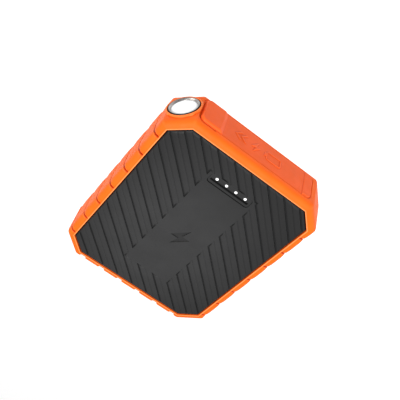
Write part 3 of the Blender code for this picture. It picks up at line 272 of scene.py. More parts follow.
class Surface:
    """A Principled material, and the nodes that vary it over the surface in the pack's own coordinates."""

    def __init__(self, name, colour, roughness, metallic=0.0, specular=0.5):
        self.material = bpy.data.materials.new(name)
        self.material.use_nodes = True
        self.tree = self.material.node_tree
        self.shader = self.tree.nodes["Principled BSDF"]
        self.colour = colour
        self.set("Base Color", (*colour, 1.0))
        self.set("Roughness", roughness)
        self.set("Metallic", metallic)
        self.set("Specular IOR Level", specular)
        self.place = self.add("ShaderNodeTexCoord").outputs["Object"]

    def set(self, socket, value):
        self.shader.inputs[socket].default_value = value

    def add(self, kind, **settings):
        node = self.tree.nodes.new(kind)
        for name, value in settings.items():
            setattr(node, name, value)
        return node

    def join(self, source, target):
        self.tree.links.new(source, target)

    def noise(self, size, detail=3.0, roughness=0.5, distortion=0.0):
        """Noise whose blotches are about size metres across."""
        node = self.add("ShaderNodeTexNoise")
        self.join(self.place, node.inputs["Vector"])
        node.inputs["Scale"].default_value = 1.0 / size
        node.inputs["Detail"].default_value = detail
        node.inputs["Roughness"].default_value = roughness
        node.inputs["Distortion"].default_value = distortion
        return node.outputs["Fac"]

    def cells(self, size):
        node = self.add("ShaderNodeTexVoronoi")
        self.join(self.place, node.inputs["Vector"])
        node.inputs["Scale"].default_value = 1.0 / size
        return node.outputs["Distance"]

    def fit(self, value, low, high, to_low=0.0, to_high=1.0):
        node = self.add("ShaderNodeMapRange")
        self.join(value, node.inputs["Value"])
        numbers = {"From Min": low, "From Max": high, "To Min": to_low, "To Max": to_high}
        for name, number in numbers.items():
            node.inputs[name].default_value = number
        return node.outputs["Result"]

    def clouds(self, size, detail=3.0):
        """Noise spread over 0 to 1."""
        return self.fit(self.noise(size, detail), 0.35, 0.65)

    def mix(self, factor, first, second):
        """Mixes two colours, or a colour socket and a colour."""
        node = self.add("ShaderNodeMix", data_type="RGBA")
        self.join(factor, node.inputs["Factor"])
        for side, value in (("A", first), ("B", second)):
            socket = [s for s in node.inputs if s.name == side and s.type == "RGBA"][0]
            if isinstance(value, tuple):
                socket.default_value = (*value, 1.0)
            else:
                self.join(value, socket)
        return [s for s in node.outputs if s.type == "RGBA"][0]

    def bump(self, height, distance, strength=1.0, under=None):
        node = self.add("ShaderNodeBump")
        self.join(height, node.inputs["Height"])
        node.inputs["Distance"].default_value = distance
        node.inputs["Strength"].default_value = strength
        if under is not None:
            self.join(under, node.inputs["Normal"])
        return node.outputs["Normal"]

    def base(self, colour):
        self.join(colour, self.shader.inputs["Base Color"])

    def rough(self, size, detail, low, high):
        """Lets the roughness drift between low and high."""
        self.join(self.fit(self.noise(size, detail), 0.3, 0.7, low, high), self.shader.inputs["Roughness"])

    def skin(self, normal):
        self.join(normal, self.shader.inputs["Normal"])

    def edges(self, low, high):
        """Rises from 0 to 1 as a surface's bend goes from low to high; a flat face is at 0.5."""
        return self.fit(self.add("ShaderNodeNewGeometry").outputs["Pointiness"], low, high)

    def sunk(self, shallow, deep):
        """1 at the pack's top and rear faces, falling to 0 from shallow to deep below them."""
        height = self.add("ShaderNodeSeparateXYZ")
        self.join(self.place, height.inputs["Vector"])
        centred = self.add("ShaderNodeMath", operation="SUBTRACT")
        self.join(height.outputs["Z"], centred.inputs[0])
        centred.inputs[1].default_value = TOP_Z / 2
        level = self.add("ShaderNodeMath", operation="ABSOLUTE")
        self.join(centred.outputs["Value"], level.inputs[0])
        return self.fit(level.outputs["Value"], TOP_Z / 2 - deep, TOP_Z / 2 - shallow)

    def away(self, centre=(0.0, 0.0), stretch=(1.0, 1.0)):
        """Distance from an upright line through centre, with each direction stretched."""
        moved = self.add("ShaderNodeVectorMath", operation="SUBTRACT")
        self.join(self.place, moved.inputs[0])
        moved.inputs[1].default_value = (*centre, 0.0)
        flat = self.add("ShaderNodeVectorMath", operation="MULTIPLY")
        self.join(moved.outputs["Vector"], flat.inputs[0])
        flat.inputs[1].default_value = (*stretch, 0.0)
        length = self.add("ShaderNodeVectorMath", operation="LENGTH")
        self.join(flat.outputs["Vector"], length.inputs[0])
        return length.outputs["Value"]


def scaled(colour, factor):
    return tuple(min(1.0, c * factor) for c in colour)


def rubber(name, colour, roughness=0.56, grain=0.00022, paler=None, beaded=False):
    """Soft rubber: cloudy, with painted shade in its hollows and edges paler, partly wear and partly a
    painted highlight. Beaded adds painted shade in the grooves and a painted highlight along the rim's
    crest.
    """
    made = Surface(name, colour, roughness, specular=0.17)
    paler = paler or scaled(colour, 1.25)
    deep = (colour[0] * 0.72, colour[1] * 0.42, colour[2] * 0.35)
    cloudy = made.mix(made.clouds(0.014), scaled(colour, 0.94), scaled(colour, 1.05))
    speckled = made.mix(made.fit(made.noise(0.0006), 0.55, 0.75, 0.0, 0.35), cloudy, scaled(colour, 0.88))
    # Painted shade: hollows darken towards the deep colour.
    shaded = made.mix(made.edges(0.494, 0.46), speckled, deep)
    # Convex edges paler: partly wear, partly a painted highlight.
    wear_and_painted_light = made.mix(made.fit(made.edges(0.515, 0.56), 0.0, 1.0, 0.0, 0.6), shaded, paler)
    if beaded:
        # Painted shade: the grip grooves darken with their depth.
        relief = made.add("ShaderNodeAttribute", attribute_name="relief").outputs["Fac"]
        wear_and_painted_light = made.mix(made.fit(relief, 0.00020, 0.00085, 0.0, 0.95), wear_and_painted_light, scaled(deep, 0.62))
        # Painted highlight: the pale line along the top of the rim's bead.
        crest = made.fit(made.sunk(0.00006, 0.00020), 0.0, 1.0, 0.0, 0.55)
        wear_and_painted_light = made.mix(crest, wear_and_painted_light, (0.95, 0.34, 0.11))
    made.base(wear_and_painted_light)
    made.rough(0.003, 4.0, roughness - 0.06, roughness + 0.08)
    coarse = made.bump(made.noise(0.0016, 2.0), 0.00002, 0.6)
    made.skin(made.bump(made.cells(grain), 0.000012, 0.7, coarse))
    return made.material


def moulded(name, colour, roughness=0.55, grain=0.00028, specular=0.4, grooved=False):
    """Moulded plastic with a fine grain. Grooved adds painted shade in the grooves and painted shade that
    darkens the outskirts.
    """
    made = Surface(name, colour, roughness, specular=specular)
    cloudy = made.mix(made.clouds(0.010), scaled(colour, 0.94), scaled(colour, 1.06))
    toned = made.mix(made.fit(made.noise(0.0004, 2.0), 0.50, 0.70, 0.0, 0.5), cloudy, scaled(colour, 1.25))
    if grooved:
        # Painted shade: darker away from a point near the middle, as light falling off towards the
        # outskirts.
        painted_falloff = made.fit(made.away((0.006, 0.014), (1.25, 1.0)), 0.030, 0.078)
        toned = made.mix(painted_falloff, toned, scaled(colour, 0.50))
        # Painted shade: the grooves darken with their depth below the top face.
        toned = made.mix(made.sunk(0.00036, 0.00120), scaled(colour, 0.24), toned)
    made.base(toned)
    made.rough(0.0012, 4.0, roughness - 0.07, roughness + 0.07)
    made.skin(made.bump(made.cells(grain), 0.00003, 0.5))
    return made.material


def metal(name, colour, roughness, streak=(1.0, 1.0, 1.0), dark_from=None):
    """Plated or drawn metal with faint streaks and small scuffs; beyond dark_from a ring is darkened as
    painted shade at the seam round the piece.
    """
    made = Surface(name, colour, roughness, metallic=1.0)
    rim = made.fit(made.away(), dark_from - 0.0002, dark_from) if dark_from else None
    stretch = made.add("ShaderNodeMapping")
    made.join(made.place, stretch.inputs["Vector"])
    stretch.inputs["Scale"].default_value = streak
    made.place = stretch.outputs["Vector"]
    tone = made.fit(made.noise(0.0007, 4.0), 0.3, 0.7)
    toned = made.mix(tone, scaled(colour, 0.82), scaled(colour, 1.06))
    # Painted shade: the ring beyond dark_from, down in the seam, is dark.
    if rim is not None:
        toned = made.mix(rim, toned, scaled(colour, 0.10))
    made.base(toned)
    made.rough(0.0011, 5.0, roughness * 0.6, roughness * 1.6)
    made.skin(made.bump(made.noise(0.0003, 3.0), 0.000006, 0.4))
    return made.material


def glowing(name, colour, strength, reach):
    """A lit lens: brightest in its middle, on the piece's own Z axis."""
    made = Surface(name, scaled(colour, 0.30), 0.2)
    glow = made.fit(made.away(), reach * 0.50, reach, 1.0, 0.03)
    tone = made.fit(made.noise(reach * 0.5, 2.0), 0.3, 0.7)
    ringed = made.mix(tone, scaled(colour, 0.92), colour)
    fading = made.mix(glow, (0.0, 0.0, 0.0), ringed)
    made.join(fading, made.shader.inputs["Emission Color"])
    made.set("Emission Strength", strength)
    made.skin(made.bump(made.noise(reach * 0.4, 2.0), reach * 0.01, 0.3))
    return made.material


def finishes():
    bumper_orange = (0.88, 0.118, 0.0045)
    return {
        "orange_rubber": rubber("bumper_rubber", bumper_orange, paler=(0.95, 0.26, 0.07), beaded=True),
        "flap_rubber": rubber("flap_rubber_skin", (0.84, 0.104, 0.011), 0.5, paler=(0.95, 0.20, 0.06)),
        "dark_cover": moulded("cover_plastic", (0.0265, 0.0265, 0.027), specular=0.2, grooved=True),
        "frame_black": moulded("frame_plastic", (0.012, 0.012, 0.013), 0.42),
        "seal_rubber": rubber("seal_rubber_black", (0.016, 0.016, 0.016), 0.7),
        "dark_chrome": metal("dark_chrome_plate", (0.42, 0.40, 0.39), 0.30, dark_from=0.0080),
        "mirror_metal": metal("vacuum_mirror", (0.86, 0.86, 0.86), 0.08),
        "bright_metal": metal("nickel_plate", (0.70, 0.69, 0.66), 0.26, (1.0, 0.25, 1.0)),
        "clear_plastic": glowing("lit_lens", (0.97, 0.98, 1.0), 1.5, 0.0074),
        "light_white": glowing("lit_pipe", (1.0, 1.0, 1.0), 1.5, 0.0011),
        "board_green": moulded("solder_mask", (0.010, 0.085, 0.030), 0.35, 0.0009, 0.6),
        "gold_contact": metal("gold_flash", (0.85, 0.58, 0.20), 0.22, (0.3, 1.0, 1.0)),
        "cell_foil": metal("cell_pouch", (0.42, 0.44, 0.46), 0.38),
        "foam_grey": rubber("grey_foam", (0.10, 0.10, 0.10), 0.9, 0.0006),
        "wire_red": moulded("wire_red_jacket", (0.42, 0.012, 0.012), 0.4),
        "wire_black": moulded("wire_black_jacket", (0.012, 0.012, 0.012), 0.4),
        "socket_blue": moulded("socket_nylon", (0.015, 0.075, 0.30), 0.42),
    }


# Mesh helpers.


def smoothed(mesh, angle):
    mesh.shade_smooth()
    mesh.set_sharp_from_angle(angle=math.radians(angle))
    return mesh


def piece(name, mesh, body, slot, *stands_for, place=None):
    """Adds a visual piece that rides on a body and stands for CAD nodes."""
    made = add_object(name, mesh, place)
    mesh.materials.append(FINISH[slot])
    if stands_for:
        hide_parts(*stands_for)
    if body:
        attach(made, body)
    return made


def smoothstep(low, high, value):
    t = np.clip((value - low) / (high - low), 0.0, 1.0)
    return t * t * (3.0 - 2.0 * t)


def hump(distance, half):
    return np.exp(-((distance / half) ** 2))


def fillet(distance, radius):
    """How far a rounded edge falls at a distance inside it."""
    reach = radius - np.clip(distance, 0.0, radius)
    return radius - np.sqrt(radius**2 - reach**2)


def tool(mesh, place=None):
    return add_object(mesh.name, mesh, place)


def cut(target, tools, angle, operation="DIFFERENCE"):
    """Applies Boolean tools to a piece one by one, removes them, and shades the result smooth."""
    for cutter in tools:
        modifier = target.modifiers.new("cut", "BOOLEAN")
        modifier.operation = operation
        modifier.solver = "EXACT"
        modifier.object = cutter
        evaluated = target.evaluated_get(bpy.context.evaluated_depsgraph_get())
        made = bpy.data.meshes.new_from_object(evaluated)
        target.modifiers.clear()
        target.data = made
        bpy.data.objects.remove(cutter)
    smoothed(target.data, angle)


def arc(centre, radius, start, end, steps):
    angles = [math.radians(start + (end - start) * i / steps) for i in range(steps + 1)]
    return [(centre[0] + radius * math.cos(a), centre[1] + radius * math.sin(a)) for a in angles]


def rounded_box(low, high, radius, steps=8):
    """A rectangle's outline with equal rounded corners, anticlockwise."""
    corners = ((low[0], low[1]), (high[0], low[1]), (high[0], high[1]), (low[0], high[1]))
    inward = ((1, 1), (-1, 1), (-1, -1), (1, -1))
    points = []
    for index, (corner, turn) in enumerate(zip(corners, inward)):
        centre = (corner[0] + turn[0] * radius, corner[1] + turn[1] * radius)
        start = 180.0 + 90.0 * index
        points += arc(centre, radius, start, start + 90.0, steps)
    return points


def grown_box(low, high, radius, grow, steps=8):
    low, high = (low[0] - grow, low[1] - grow), (high[0] + grow, high[1] + grow)
    return rounded_box(low, high, radius + grow, steps)


def backed(name, bm, axis, level):
    """Closes an open sheet with a wall down to a flat face at one level of an axis."""
    border = [e for e in bm.edges if e.is_boundary]
    wall = bmesh.ops.extrude_edge_only(bm, edges=border)["geom"]
    for vert in (g for g in wall if isinstance(g, bmesh.types.BMVert)):
        vert.co[axis] = level
    rim = [g for g in wall if isinstance(g, bmesh.types.BMEdge) and g.is_boundary]
    bmesh.ops.edgeloop_fill(bm, edges=rim)
    bmesh.ops.recalc_face_normals(bm, faces=bm.faces)
    return mesh_from(name, bm)


def join_loops(bm, row, following):
    for i in range(len(row)):
        bm.faces.new((row[i - 1], row[i], following[i], following[i - 1]))


def loft(name, loops):
    """A closed body through loops of equal length, with a flat face at each end."""
    bm = bmesh.new()
    rows = [[bm.verts.new(p) for p in loop] for loop in loops]
    for row, following in zip(rows, rows[1:]):
        join_loops(bm, row, following)
    bm.faces.new(rows[0])
    bm.faces.new(rows[-1])
    bmesh.ops.recalc_face_normals(bm, faces=bm.faces)
    return mesh_from(name, bm)


def upright_body(name, low, high, radius, rows, steps=8):
    """A body with its axis along Y, through rounded boxes grown by each row of (grow, y)."""
    loops = []
    for grow, y in rows:
        outline = grown_box(low, high, radius, grow, steps)
        loops.append([(x, y, z) for x, z in outline])
    return loft(name, loops)


def rows_from(*rows, start=WALL_Y):
    """Rows of (grow, y) with y measured from start."""
    return [(grow, start + y) for grow, y in rows]


def turned(name, profile, steps):
    """A closed profile of (radius, height) turned round the Z axis."""
    bm = bmesh.new()
    rings = []
    for radius, height in profile:
        if radius < 1e-7:
            rings.append([bm.verts.new((0.0, 0.0, height))])
        else:
            rings.append([
                bm.verts.new((radius * math.cos(a), radius * math.sin(a), height))
                for a in (2 * math.pi * i / steps for i in range(steps))
            ])
    pairs = list(zip(rings, rings[1:]))
    if len(rings[0]) > 1 and len(rings[-1]) > 1:
        pairs.append((rings[-1], rings[0]))
    for first, second in pairs:
        for i in range(steps):
            j = (i + 1) % steps
            a, b = first[i % len(first)], first[j % len(first)]
            c, d = second[j % len(second)], second[i % len(second)]
            corners = list(dict.fromkeys((a, b, c, d)))
            if len(corners) > 2:
                bm.faces.new(corners)
    bmesh.ops.recalc_face_normals(bm, faces=bm.faces)
    return mesh_from(name, bm)


# Outline of the pack.


def corner_leg(inset):
    return COVER_LEG + (RIM - inset) * (2.0 - math.sqrt(2.0))


def octagon_corners(inset):
    half_x, half_y, leg = HALF_X - inset, HALF_Y - inset, corner_leg(inset)
    return [
        (half_x, -half_y + leg),
        (half_x, half_y - leg),
        (half_x - leg, half_y),
        (-half_x + leg, half_y),
        (-half_x, half_y - leg),
        (-half_x, -half_y + leg),
        (-half_x + leg, -half_y),
        (half_x - leg, -half_y),
    ]


def octagon_sides(inset):
    """A point and the outward direction of each of the eight sides."""
    corners = octagon_corners(inset)
    sides = []
    for index in range(8):
        first, second = Vector(corners[index]), Vector(corners[(index + 1) % 8])
        along = (second - first).normalized()
        sides.append((first, Vector((along.y, -along.x))))
    return sides


def edge_distance(x, y, inset):
    """How far inside the outline a point lies."""
    found = np.full(x.shape, 1.0)
    for point, outward in octagon_sides(inset):
        found = np.minimum(found, (point.x - x) * outward.x + (point.y - y) * outward.y)
    return found


# Covers.


def across_ribs(x, y):
    """The distance of each point from the nearest channel's deep line."""
    across = (x + y) * math.sqrt(0.5)
    return (across - RIB_PHASE + RIB_PITCH / 2) % RIB_PITCH - RIB_PITCH / 2


def outside_band(x, y):
    return np.maximum(np.abs(x) - BAND_X, np.maximum(y - BAND_Y[1], BAND_Y[0] - y))


def channel_depth(x, y):
    """Depth of the channels beside the ribs. Each ends at the plain band in a crease."""
    offset = across_ribs(x, y) * 1000.0
    outside = outside_band(x, y)
    depth = np.interp(offset, CHANNEL_PLACE, CHANNEL_DEPTH) / 1000.0
    along = smoothstep(-3.5, -0.6, offset) * (1.0 - smoothstep(0.31, 0.50, offset))
    crease = CREASE_DEPTH * along * (1.0 - smoothstep(*CREASE_ENDS, outside))
    return np.maximum(depth, np.minimum(depth + crease, LINE_DEPTH)) * smoothstep(0.0, END_WALL, outside)


def cover_mesh(name, depth):
    """A cover's sheet with its ribs, face up at height 0, and its edge rounded."""
    reach = (HALF_X + HALF_Y) / math.sqrt(2.0)
    count = int(reach / RIB_PITCH) + 1
    deep_lines = [RIB_PHASE + k * RIB_PITCH for k in range(-count, count + 1)]
    across = [line + row / 1000.0 for line in deep_lines for row in CHANNEL_ROWS]
    along = np.arange(-reach, reach, RIB_GRID_STEP)
    root = math.sqrt(0.5)
    grid_v, grid_u = np.meshgrid(across, along, indexing="ij")
    grid_x, grid_y = (grid_u + grid_v) * root, (grid_v - grid_u) * root
    near = edge_distance(grid_x, grid_y, RIM) > -0.0016
    bm = bmesh.new()
    rows = []
    for line in zip(grid_x, grid_y, near):
        rows.append([bm.verts.new((x, y, 0.0)) if kept else None for x, y, kept in zip(*line)])
    for row, following in zip(rows, rows[1:]):
        for j in range(len(along) - 1):
            corners = (row[j], row[j + 1], following[j + 1], following[j])
            if None not in corners:
                bm.faces.new(corners)

    def slice_at(point, normal, clear=False, chosen=lambda place: True):
        faces = [f for f in bm.faces if chosen(f.calc_center_median())]
        edges = {e for f in faces for e in f.edges}
        verts = {v for f in faces for v in f.verts}
        geom = [*verts, *edges, *faces]
        bmesh.ops.bisect_plane(bm, geom=geom, dist=1e-6, plane_co=point, plane_no=normal, clear_outer=clear)

    def beside_band(place):
        return outside_band(place.x, place.y) < BAND_MARGIN

    for point, outward in octagon_sides(RIM):
        slice_at((*point, 0.0), (*outward, 0.0), True)
    for share in (0.05, 0.14, 0.30, 0.60, 1.0):
        for point, outward in octagon_sides(RIM + COVER_EDGE_R * share):
            slice_at((*point, 0.0), (*outward, 0.0))
    for out in END_LINES:
        for side in (-1, 1):
            slice_at((side * (BAND_X + out), 0.0, 0.0), (1.0, 0.0, 0.0), chosen=beside_band)
        slice_at((0.0, BAND_Y[0] - out, 0.0), (0.0, 1.0, 0.0), chosen=beside_band)
        slice_at((0.0, BAND_Y[1] + out, 0.0), (0.0, 1.0, 0.0), chosen=beside_band)
    places = np.array([v.co for v in bm.verts])
    x, y = places[:, 0], places[:, 1]
    inside = edge_distance(x, y, RIM)
    fade = smoothstep(0.0004, 0.0014, inside)
    height = -channel_depth(x, y) * fade * depth - fillet(inside, COVER_EDGE_R)
    for vert, z in zip(bm.verts, height):
        vert.co.z = z
    return backed(name, bm, 2, -COVER_T)


def bolt_outline(centre, size):
    """A plain lightning bolt."""
    shape = ((0.30, 1.0), (-0.70, -0.15), (-0.08, -0.15), (-0.30, -1.0), (0.70, 0.2), (0.08, 0.2))
    return [(centre[0] + x * size / 2, centre[1] + y * size / 2) for x, y in shape]


def slot_outline(grow):
    """The button's opening in the cover: close round the bar, with a wider gap at its +Y side."""
    side = BUTTON_HALF[0] + SLOT_GAP + grow
    front, back = BUTTON_HALF[1] + SLOT_GAP + grow, BUTTON_HALF[1] + SLOT_GAP_BACK + grow
    low = (BUTTON_MID[0] - side, BUTTON_MID[1] - front)
    high = (BUTTON_MID[0] + side, BUTTON_MID[1] + back)
    return rounded_box(low, high, BUTTON_R + grow)


def button_outline(grow):
    low = (BUTTON_MID[0] - BUTTON_HALF[0], BUTTON_MID[1] - BUTTON_HALF[1])
    high = (BUTTON_MID[0] + BUTTON_HALF[0], BUTTON_MID[1] + BUTTON_HALF[1])
    return grown_box(low, high, BUTTON_R, grow)


def top_cover():
    made = piece("top_cover_shell", cover_mesh("top_cover_shell", 1.0), "pack", "dark_cover", "top_cover")
    made.data.transform(Matrix.Translation((0.0, 0.0, TOP_Z)))
    slot_rows = ((0.0, -0.0040), (0.0, -0.00012), (0.00012, 0.0), (0.0006, 0.0005))
    slot = [[(x, y, TOP_Z + z) for x, y in slot_outline(grow)] for grow, z in slot_rows]
    mark = []
    for grow, z in ((-0.0010, -0.0006), (-0.0003, -0.00035), (0.0, 0.0), (0.0004, 0.0004)):
        mark.append([(x, y, TOP_Z + z) for x, y in bolt_outline(MARK_CENTRE, MARK_SIZE + grow)])
    cut(made, [tool(loft("button_slot", slot)), tool(loft("mark", mark))], 32.0)


def screw_spot(index):
    low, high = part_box(f"rear_screw_{index}")
    return Matrix.Translation(((low.x + high.x) / 2, (low.y + high.y) / 2, 0.0))


def rear_cover():
    mesh = cover_mesh("rear_cover_shell", REAR_DEPTH)
    made = piece("rear_cover_shell", mesh, "pack", "dark_cover", "rear_cover")
    made.data.transform(Matrix.Diagonal((1.0, 1.0, -1.0, 1.0)))
    made.data.flip_normals()
    seat = [(0, -0.001), (0.0034, -0.0006), (0.0028, 0.0), (0.0026, 0.0002), (0.0026, 0.0016), (0, 0.0016)]
    spots = [screw_spot(index) for index in range(1, SCREW_COUNT + 1)]
    cut(made, [tool(turned("screw_seat", seat, 40), spot) for spot in spots], 32.0)


# Bumper.


def bumper_section():
    """(inset, height) in metres, from the inner top edge over the rim, down the wall and up inside."""
    top = [(i / 1000.0, z / 1000.0) for i, z in TOP_EDGE]
    bottom = [(inset, TOP_Z - z) for inset, z in reversed(top)]
    wall = [(0.0, z) for z in np.linspace(top[-1][1], bottom[0][1], WALL_ROWS)[1:-1]]
    inner = [(top[0][0], z) for z in np.linspace(bottom[-1][1], top[0][1], INNER_ROWS)[1:-1]]
    return top + wall + bottom + inner


def section_normals(section):
    """The outward direction at each point of the section, as (away from the middle, up)."""
    found = []
    for index in range(len(section)):
        before, after = section[index - 1], section[(index + 1) % len(section)]
        run = Vector((-(after[0] - before[0]), after[1] - before[1]))
        found.append(Vector((-run.y, run.x)).normalized())
    return found


def outline_points(inset, radius):
    """The outline as (x, y, side, outward x, outward y), finely divided. Arcs have side -1."""
    corners = octagon_corners(inset)
    sides = octagon_sides(inset)
    half_bend = math.radians(22.5)
    reach = radius * math.tan(half_bend)
    outer_reach = CORNER_R * math.tan(half_bend)
    outer = octagon_corners(0.0)
    points = []
    for index in range(8):
        here, ahead = Vector(corners[index]), Vector(corners[(index + 1) % 8])
        along = (ahead - here).normalized()
        first, last = here + along * reach, ahead - along * reach
        length = (Vector(outer[(index + 1) % 8]) - Vector(outer[index])).length - 2 * outer_reach
        count = max(2, round(length / SIDE_STEP[index]))
        outward = sides[index][1]
        for i in range(count + 1):
            at = first.lerp(last, i / count)
            points.append((at.x, at.y, index, outward.x, outward.y))
        centre = last - outward * radius
        start = math.atan2(outward.y, outward.x)
        for i in range(1, CORNER_STEPS):
            angle = start + math.radians(45.0) * i / CORNER_STEPS
            x, y = math.cos(angle), math.sin(angle)
            points.append((centre.x + x * radius, centre.y + y * radius, -1, x, y))
    return points


def tile_relief(side, x, y, inset, z):
    """How deep the grip grooves cut the bumper's skin. Between them the tiles are slightly domed."""
    on_rim = 1.0 - smoothstep(0.0034, 0.0040, inset)
    bow = GROOVE_BOW * np.sin(math.pi * np.clip((TOP_Z - GROOVE_TOP - z) / (TOP_Z - GROOVE_TOP), 0.0, 1.0))
    line = (y - bow - GROOVE_FIRST_Y) / GROOVE_PITCH
    nearest = np.clip(np.round(line), 0, GROOVE_COUNT - 1)
    across = (line - nearest) * GROOVE_PITCH
    groove = GROOVE_DEPTH * hump(across, GROOVE_HALF) + TILE_DOME * hump(across, TILE_DOME_HALF)
    relief = np.where((side == 0) | (side == 4), groove * on_rim, 0.0)
    line = x / GAP_PITCH + (GAP_COUNT - 1) / 2
    nearest = np.clip(np.round(line), 0, GAP_COUNT - 1)
    across = np.abs(line - nearest) * GAP_PITCH
    gap = GAP_DEPTH * (1.0 - smoothstep(GAP_WIDTH / 2 - 0.0003, GAP_WIDTH / 2 + 0.0003, across))
    near_wall = 1.0 - smoothstep(0.0016, 0.0034, inset)
    return np.where(side == 2, gap * near_wall, relief)


def bumper_mesh():
    section = bumper_section()
    normals = section_normals(section)
    bm = bmesh.new()
    shade = bm.verts.layers.float.new("relief")
    loops = []
    for (inset, z), normal in zip(section, normals):
        radius = max(CORNER_R - inset * 0.4, 0.0004)
        points = np.array(outline_points(inset, radius))
        x, y, side = points[:, 0], points[:, 1], points[:, 2]
        depth = tile_relief(side, x, y, np.full(x.shape, inset), np.full(x.shape, z))
        x = x - depth * normal.x * points[:, 3]
        y = y - depth * normal.x * points[:, 4]
        heights = z - depth * normal.y
        loops.append([bm.verts.new(p) for p in zip(x, y, heights)])
        # Each vertex keeps its groove depth, which the rubber turns into painted shade.
        for vert, cut_depth, at in zip(loops[-1], depth, side):
            vert[shade] = 0.0 if at == 2 else cut_depth
    for index in range(len(loops)):
        join_loops(bm, loops[index - 1], loops[index])
    bmesh.ops.recalc_face_normals(bm, faces=bm.faces)
    return mesh_from("bumper_shell", bm)


def torch_place():
    leg = corner_leg(0.0)
    centre = Vector((HALF_X - leg / 2, -HALF_Y + leg / 2, TORCH_Z))
    outward = Vector((1.0, -1.0, 0.0)).normalized()
    return Matrix.Translation(centre) @ outward.to_track_quat("Z", "Y").to_matrix().to_4x4()


def bumper():
    made = piece("bumper_shell", bumper_mesh(), "pack", "orange_rubber", "bumper")
    place = torch_place()
    collar = [
        (0.0, -0.0030), (0.01045, -0.0030), (0.00995, -0.0006), (0.00980, 0.0002), (0.00966, 0.0007),
        (0.00942, 0.00096), (0.00912, 0.00105), (0.0, 0.00105),
    ]
    cut(made, [tool(turned("collar", collar, 72), place)], 35.0, "UNION")
    seat_low = (anchor_low.x - FLAP_SEAT_GAP, flap_low.z - FLAP_SEAT_GAP)
    seat_high = (flap_high.x + FLAP_SEAT_GAP, flap_high.z + FLAP_SEAT_GAP)
    seat_r = FLAP_R + FLAP_SEAT_GAP
    seat_rows = rows_from(
        (0.0, 0.0025), (0.0, 0.0006), (0.00016, 0.0002), (0.0004, -0.00002), (0.0009, -0.0006),
        (0.0009, -0.003),
    )
    recess_rows = rows_from(
        (-0.0001, 0.0009), (0.0003, 0.0008), (0.0008, 0.0003), (0.00105, -0.0001), (0.0012, -0.0006),
        (0.0012, -0.003),
    )
    bay_rows = rows_from((0.0, 0.010), (0.0, 0.0030), (0.0003, 0.0025), (0.0003, 0.001))
    hole = [
        (0.0, -0.012), (0.00795, -0.012), (0.00795, -0.0015), (0.0087, -0.0015), (0.0087, 0.0008),
        (0.00885, 0.00100), (0.0092, 0.0013), (0.0092, 0.003), (0.0, 0.003),
    ]
    cut(made, [
        tool(upright_body("seat", seat_low, seat_high, seat_r, seat_rows)),
        tool(upright_body("recess", (TAB_X, seat_low[1]), seat_high, seat_r, recess_rows)),
        tool(upright_body("bay", (-BAY_X, BAY_Z[0]), (BAY_X, BAY_Z[1]), BAY_R, bay_rows)),
        tool(turned("hole", hole, 72), place),
    ], 35.0)


# Flap, anchor and the web between them.


def stations(low, high, step, ends):
    """Places from low to high: the given distances from both ends, then about one every step."""
    middle_low, middle_high = low + ends[-1], high - ends[-1]
    count = max(1, round((middle_high - middle_low) / step))
    middle = np.linspace(middle_low, middle_high, count + 1)[1:-1]
    return np.concatenate([low + np.array(ends), middle, high - np.array(ends[::-1])])


def corner_radii(x, z, middle, radii):
    """The radius that rules each point. Radii run anticlockwise from low x, low z."""
    right, top = x > middle[0], z > middle[1]
    return np.where(right, np.where(top, radii[2], radii[1]), np.where(top, radii[3], radii[0]))


class Panel:
    """A grid of points over the -Y face of a box, with rounded corners and its distance to the edge."""

    def __init__(self, low, high, radii, step):
        u = stations(low.x, high.x, step, SOFT_ENDS)
        w = stations(low.z, high.z, step, SOFT_ENDS)
        self.x, self.z = np.meshgrid(u, w, indexing="ij")
        middle = ((low.x + high.x) / 2, (low.z + high.z) / 2)
        half = ((high.x - low.x) / 2, (high.z - low.z) / 2)
        r = corner_radii(self.x, self.z, middle, radii)
        dx, dz = self.x - middle[0], self.z - middle[1]
        over_x, over_z = np.abs(dx) - (half[0] - r), np.abs(dz) - (half[1] - r)
        inside = (over_x > 0) & (over_z > 0) & (r > 0)
        safe = np.where(r > 0, r, 1.0)
        p, q = np.clip(over_x / safe, 0, 1), np.clip(over_z / safe, 0, 1)
        bent_x = (half[0] - r + r * p * np.sqrt(1 - q**2 / 2)) * np.sign(dx) + middle[0]
        bent_z = (half[1] - r + r * q * np.sqrt(1 - p**2 / 2)) * np.sign(dz) + middle[1]
        self.x, self.z = np.where(inside, bent_x, self.x), np.where(inside, bent_z, self.z)
        over_x = np.abs(self.x - middle[0]) - (half[0] - r)
        over_z = np.abs(self.z - middle[1]) - (half[1] - r)
        far = np.hypot(np.maximum(over_x, 0), np.maximum(over_z, 0))
        self.edge = np.maximum(r - far - np.minimum(np.maximum(over_x, over_z), 0), 0.0)

    def body(self, name, front_y, back_y):
        """Closes the grid into a body between a front depth for each point and a flat back."""
        rows, columns = self.x.shape
        bm = bmesh.new()
        front = [[bm.verts.new(p) for p in zip(*line)] for line in zip(self.x, front_y, self.z)]
        for i in range(rows - 1):
            for j in range(columns - 1):
                bm.faces.new((front[i][j], front[i + 1][j], front[i + 1][j + 1], front[i][j + 1]))
        return backed(name, bm, 1, back_y)


def polygon_distance(x, z, points):
    """Signed distance to a polygon's edge, negative inside."""
    nearest = np.full(x.shape, 1.0)
    inside = np.zeros(x.shape, bool)
    for (ax, az), (bx, bz) in zip(points, points[1:] + points[:1]):
        ex, ez = bx - ax, bz - az
        t = np.clip(((x - ax) * ex + (z - az) * ez) / (ex * ex + ez * ez), 0, 1)
        nearest = np.minimum(nearest, np.hypot(x - ax - t * ex, z - az - t * ez))
        crosses = (az > z) != (bz > z)
        at = ax + (z - az) * ex / (ez if abs(ez) > 1e-12 else 1e-12)
        inside ^= crosses & (x < at)
    return np.where(inside, -nearest, nearest)


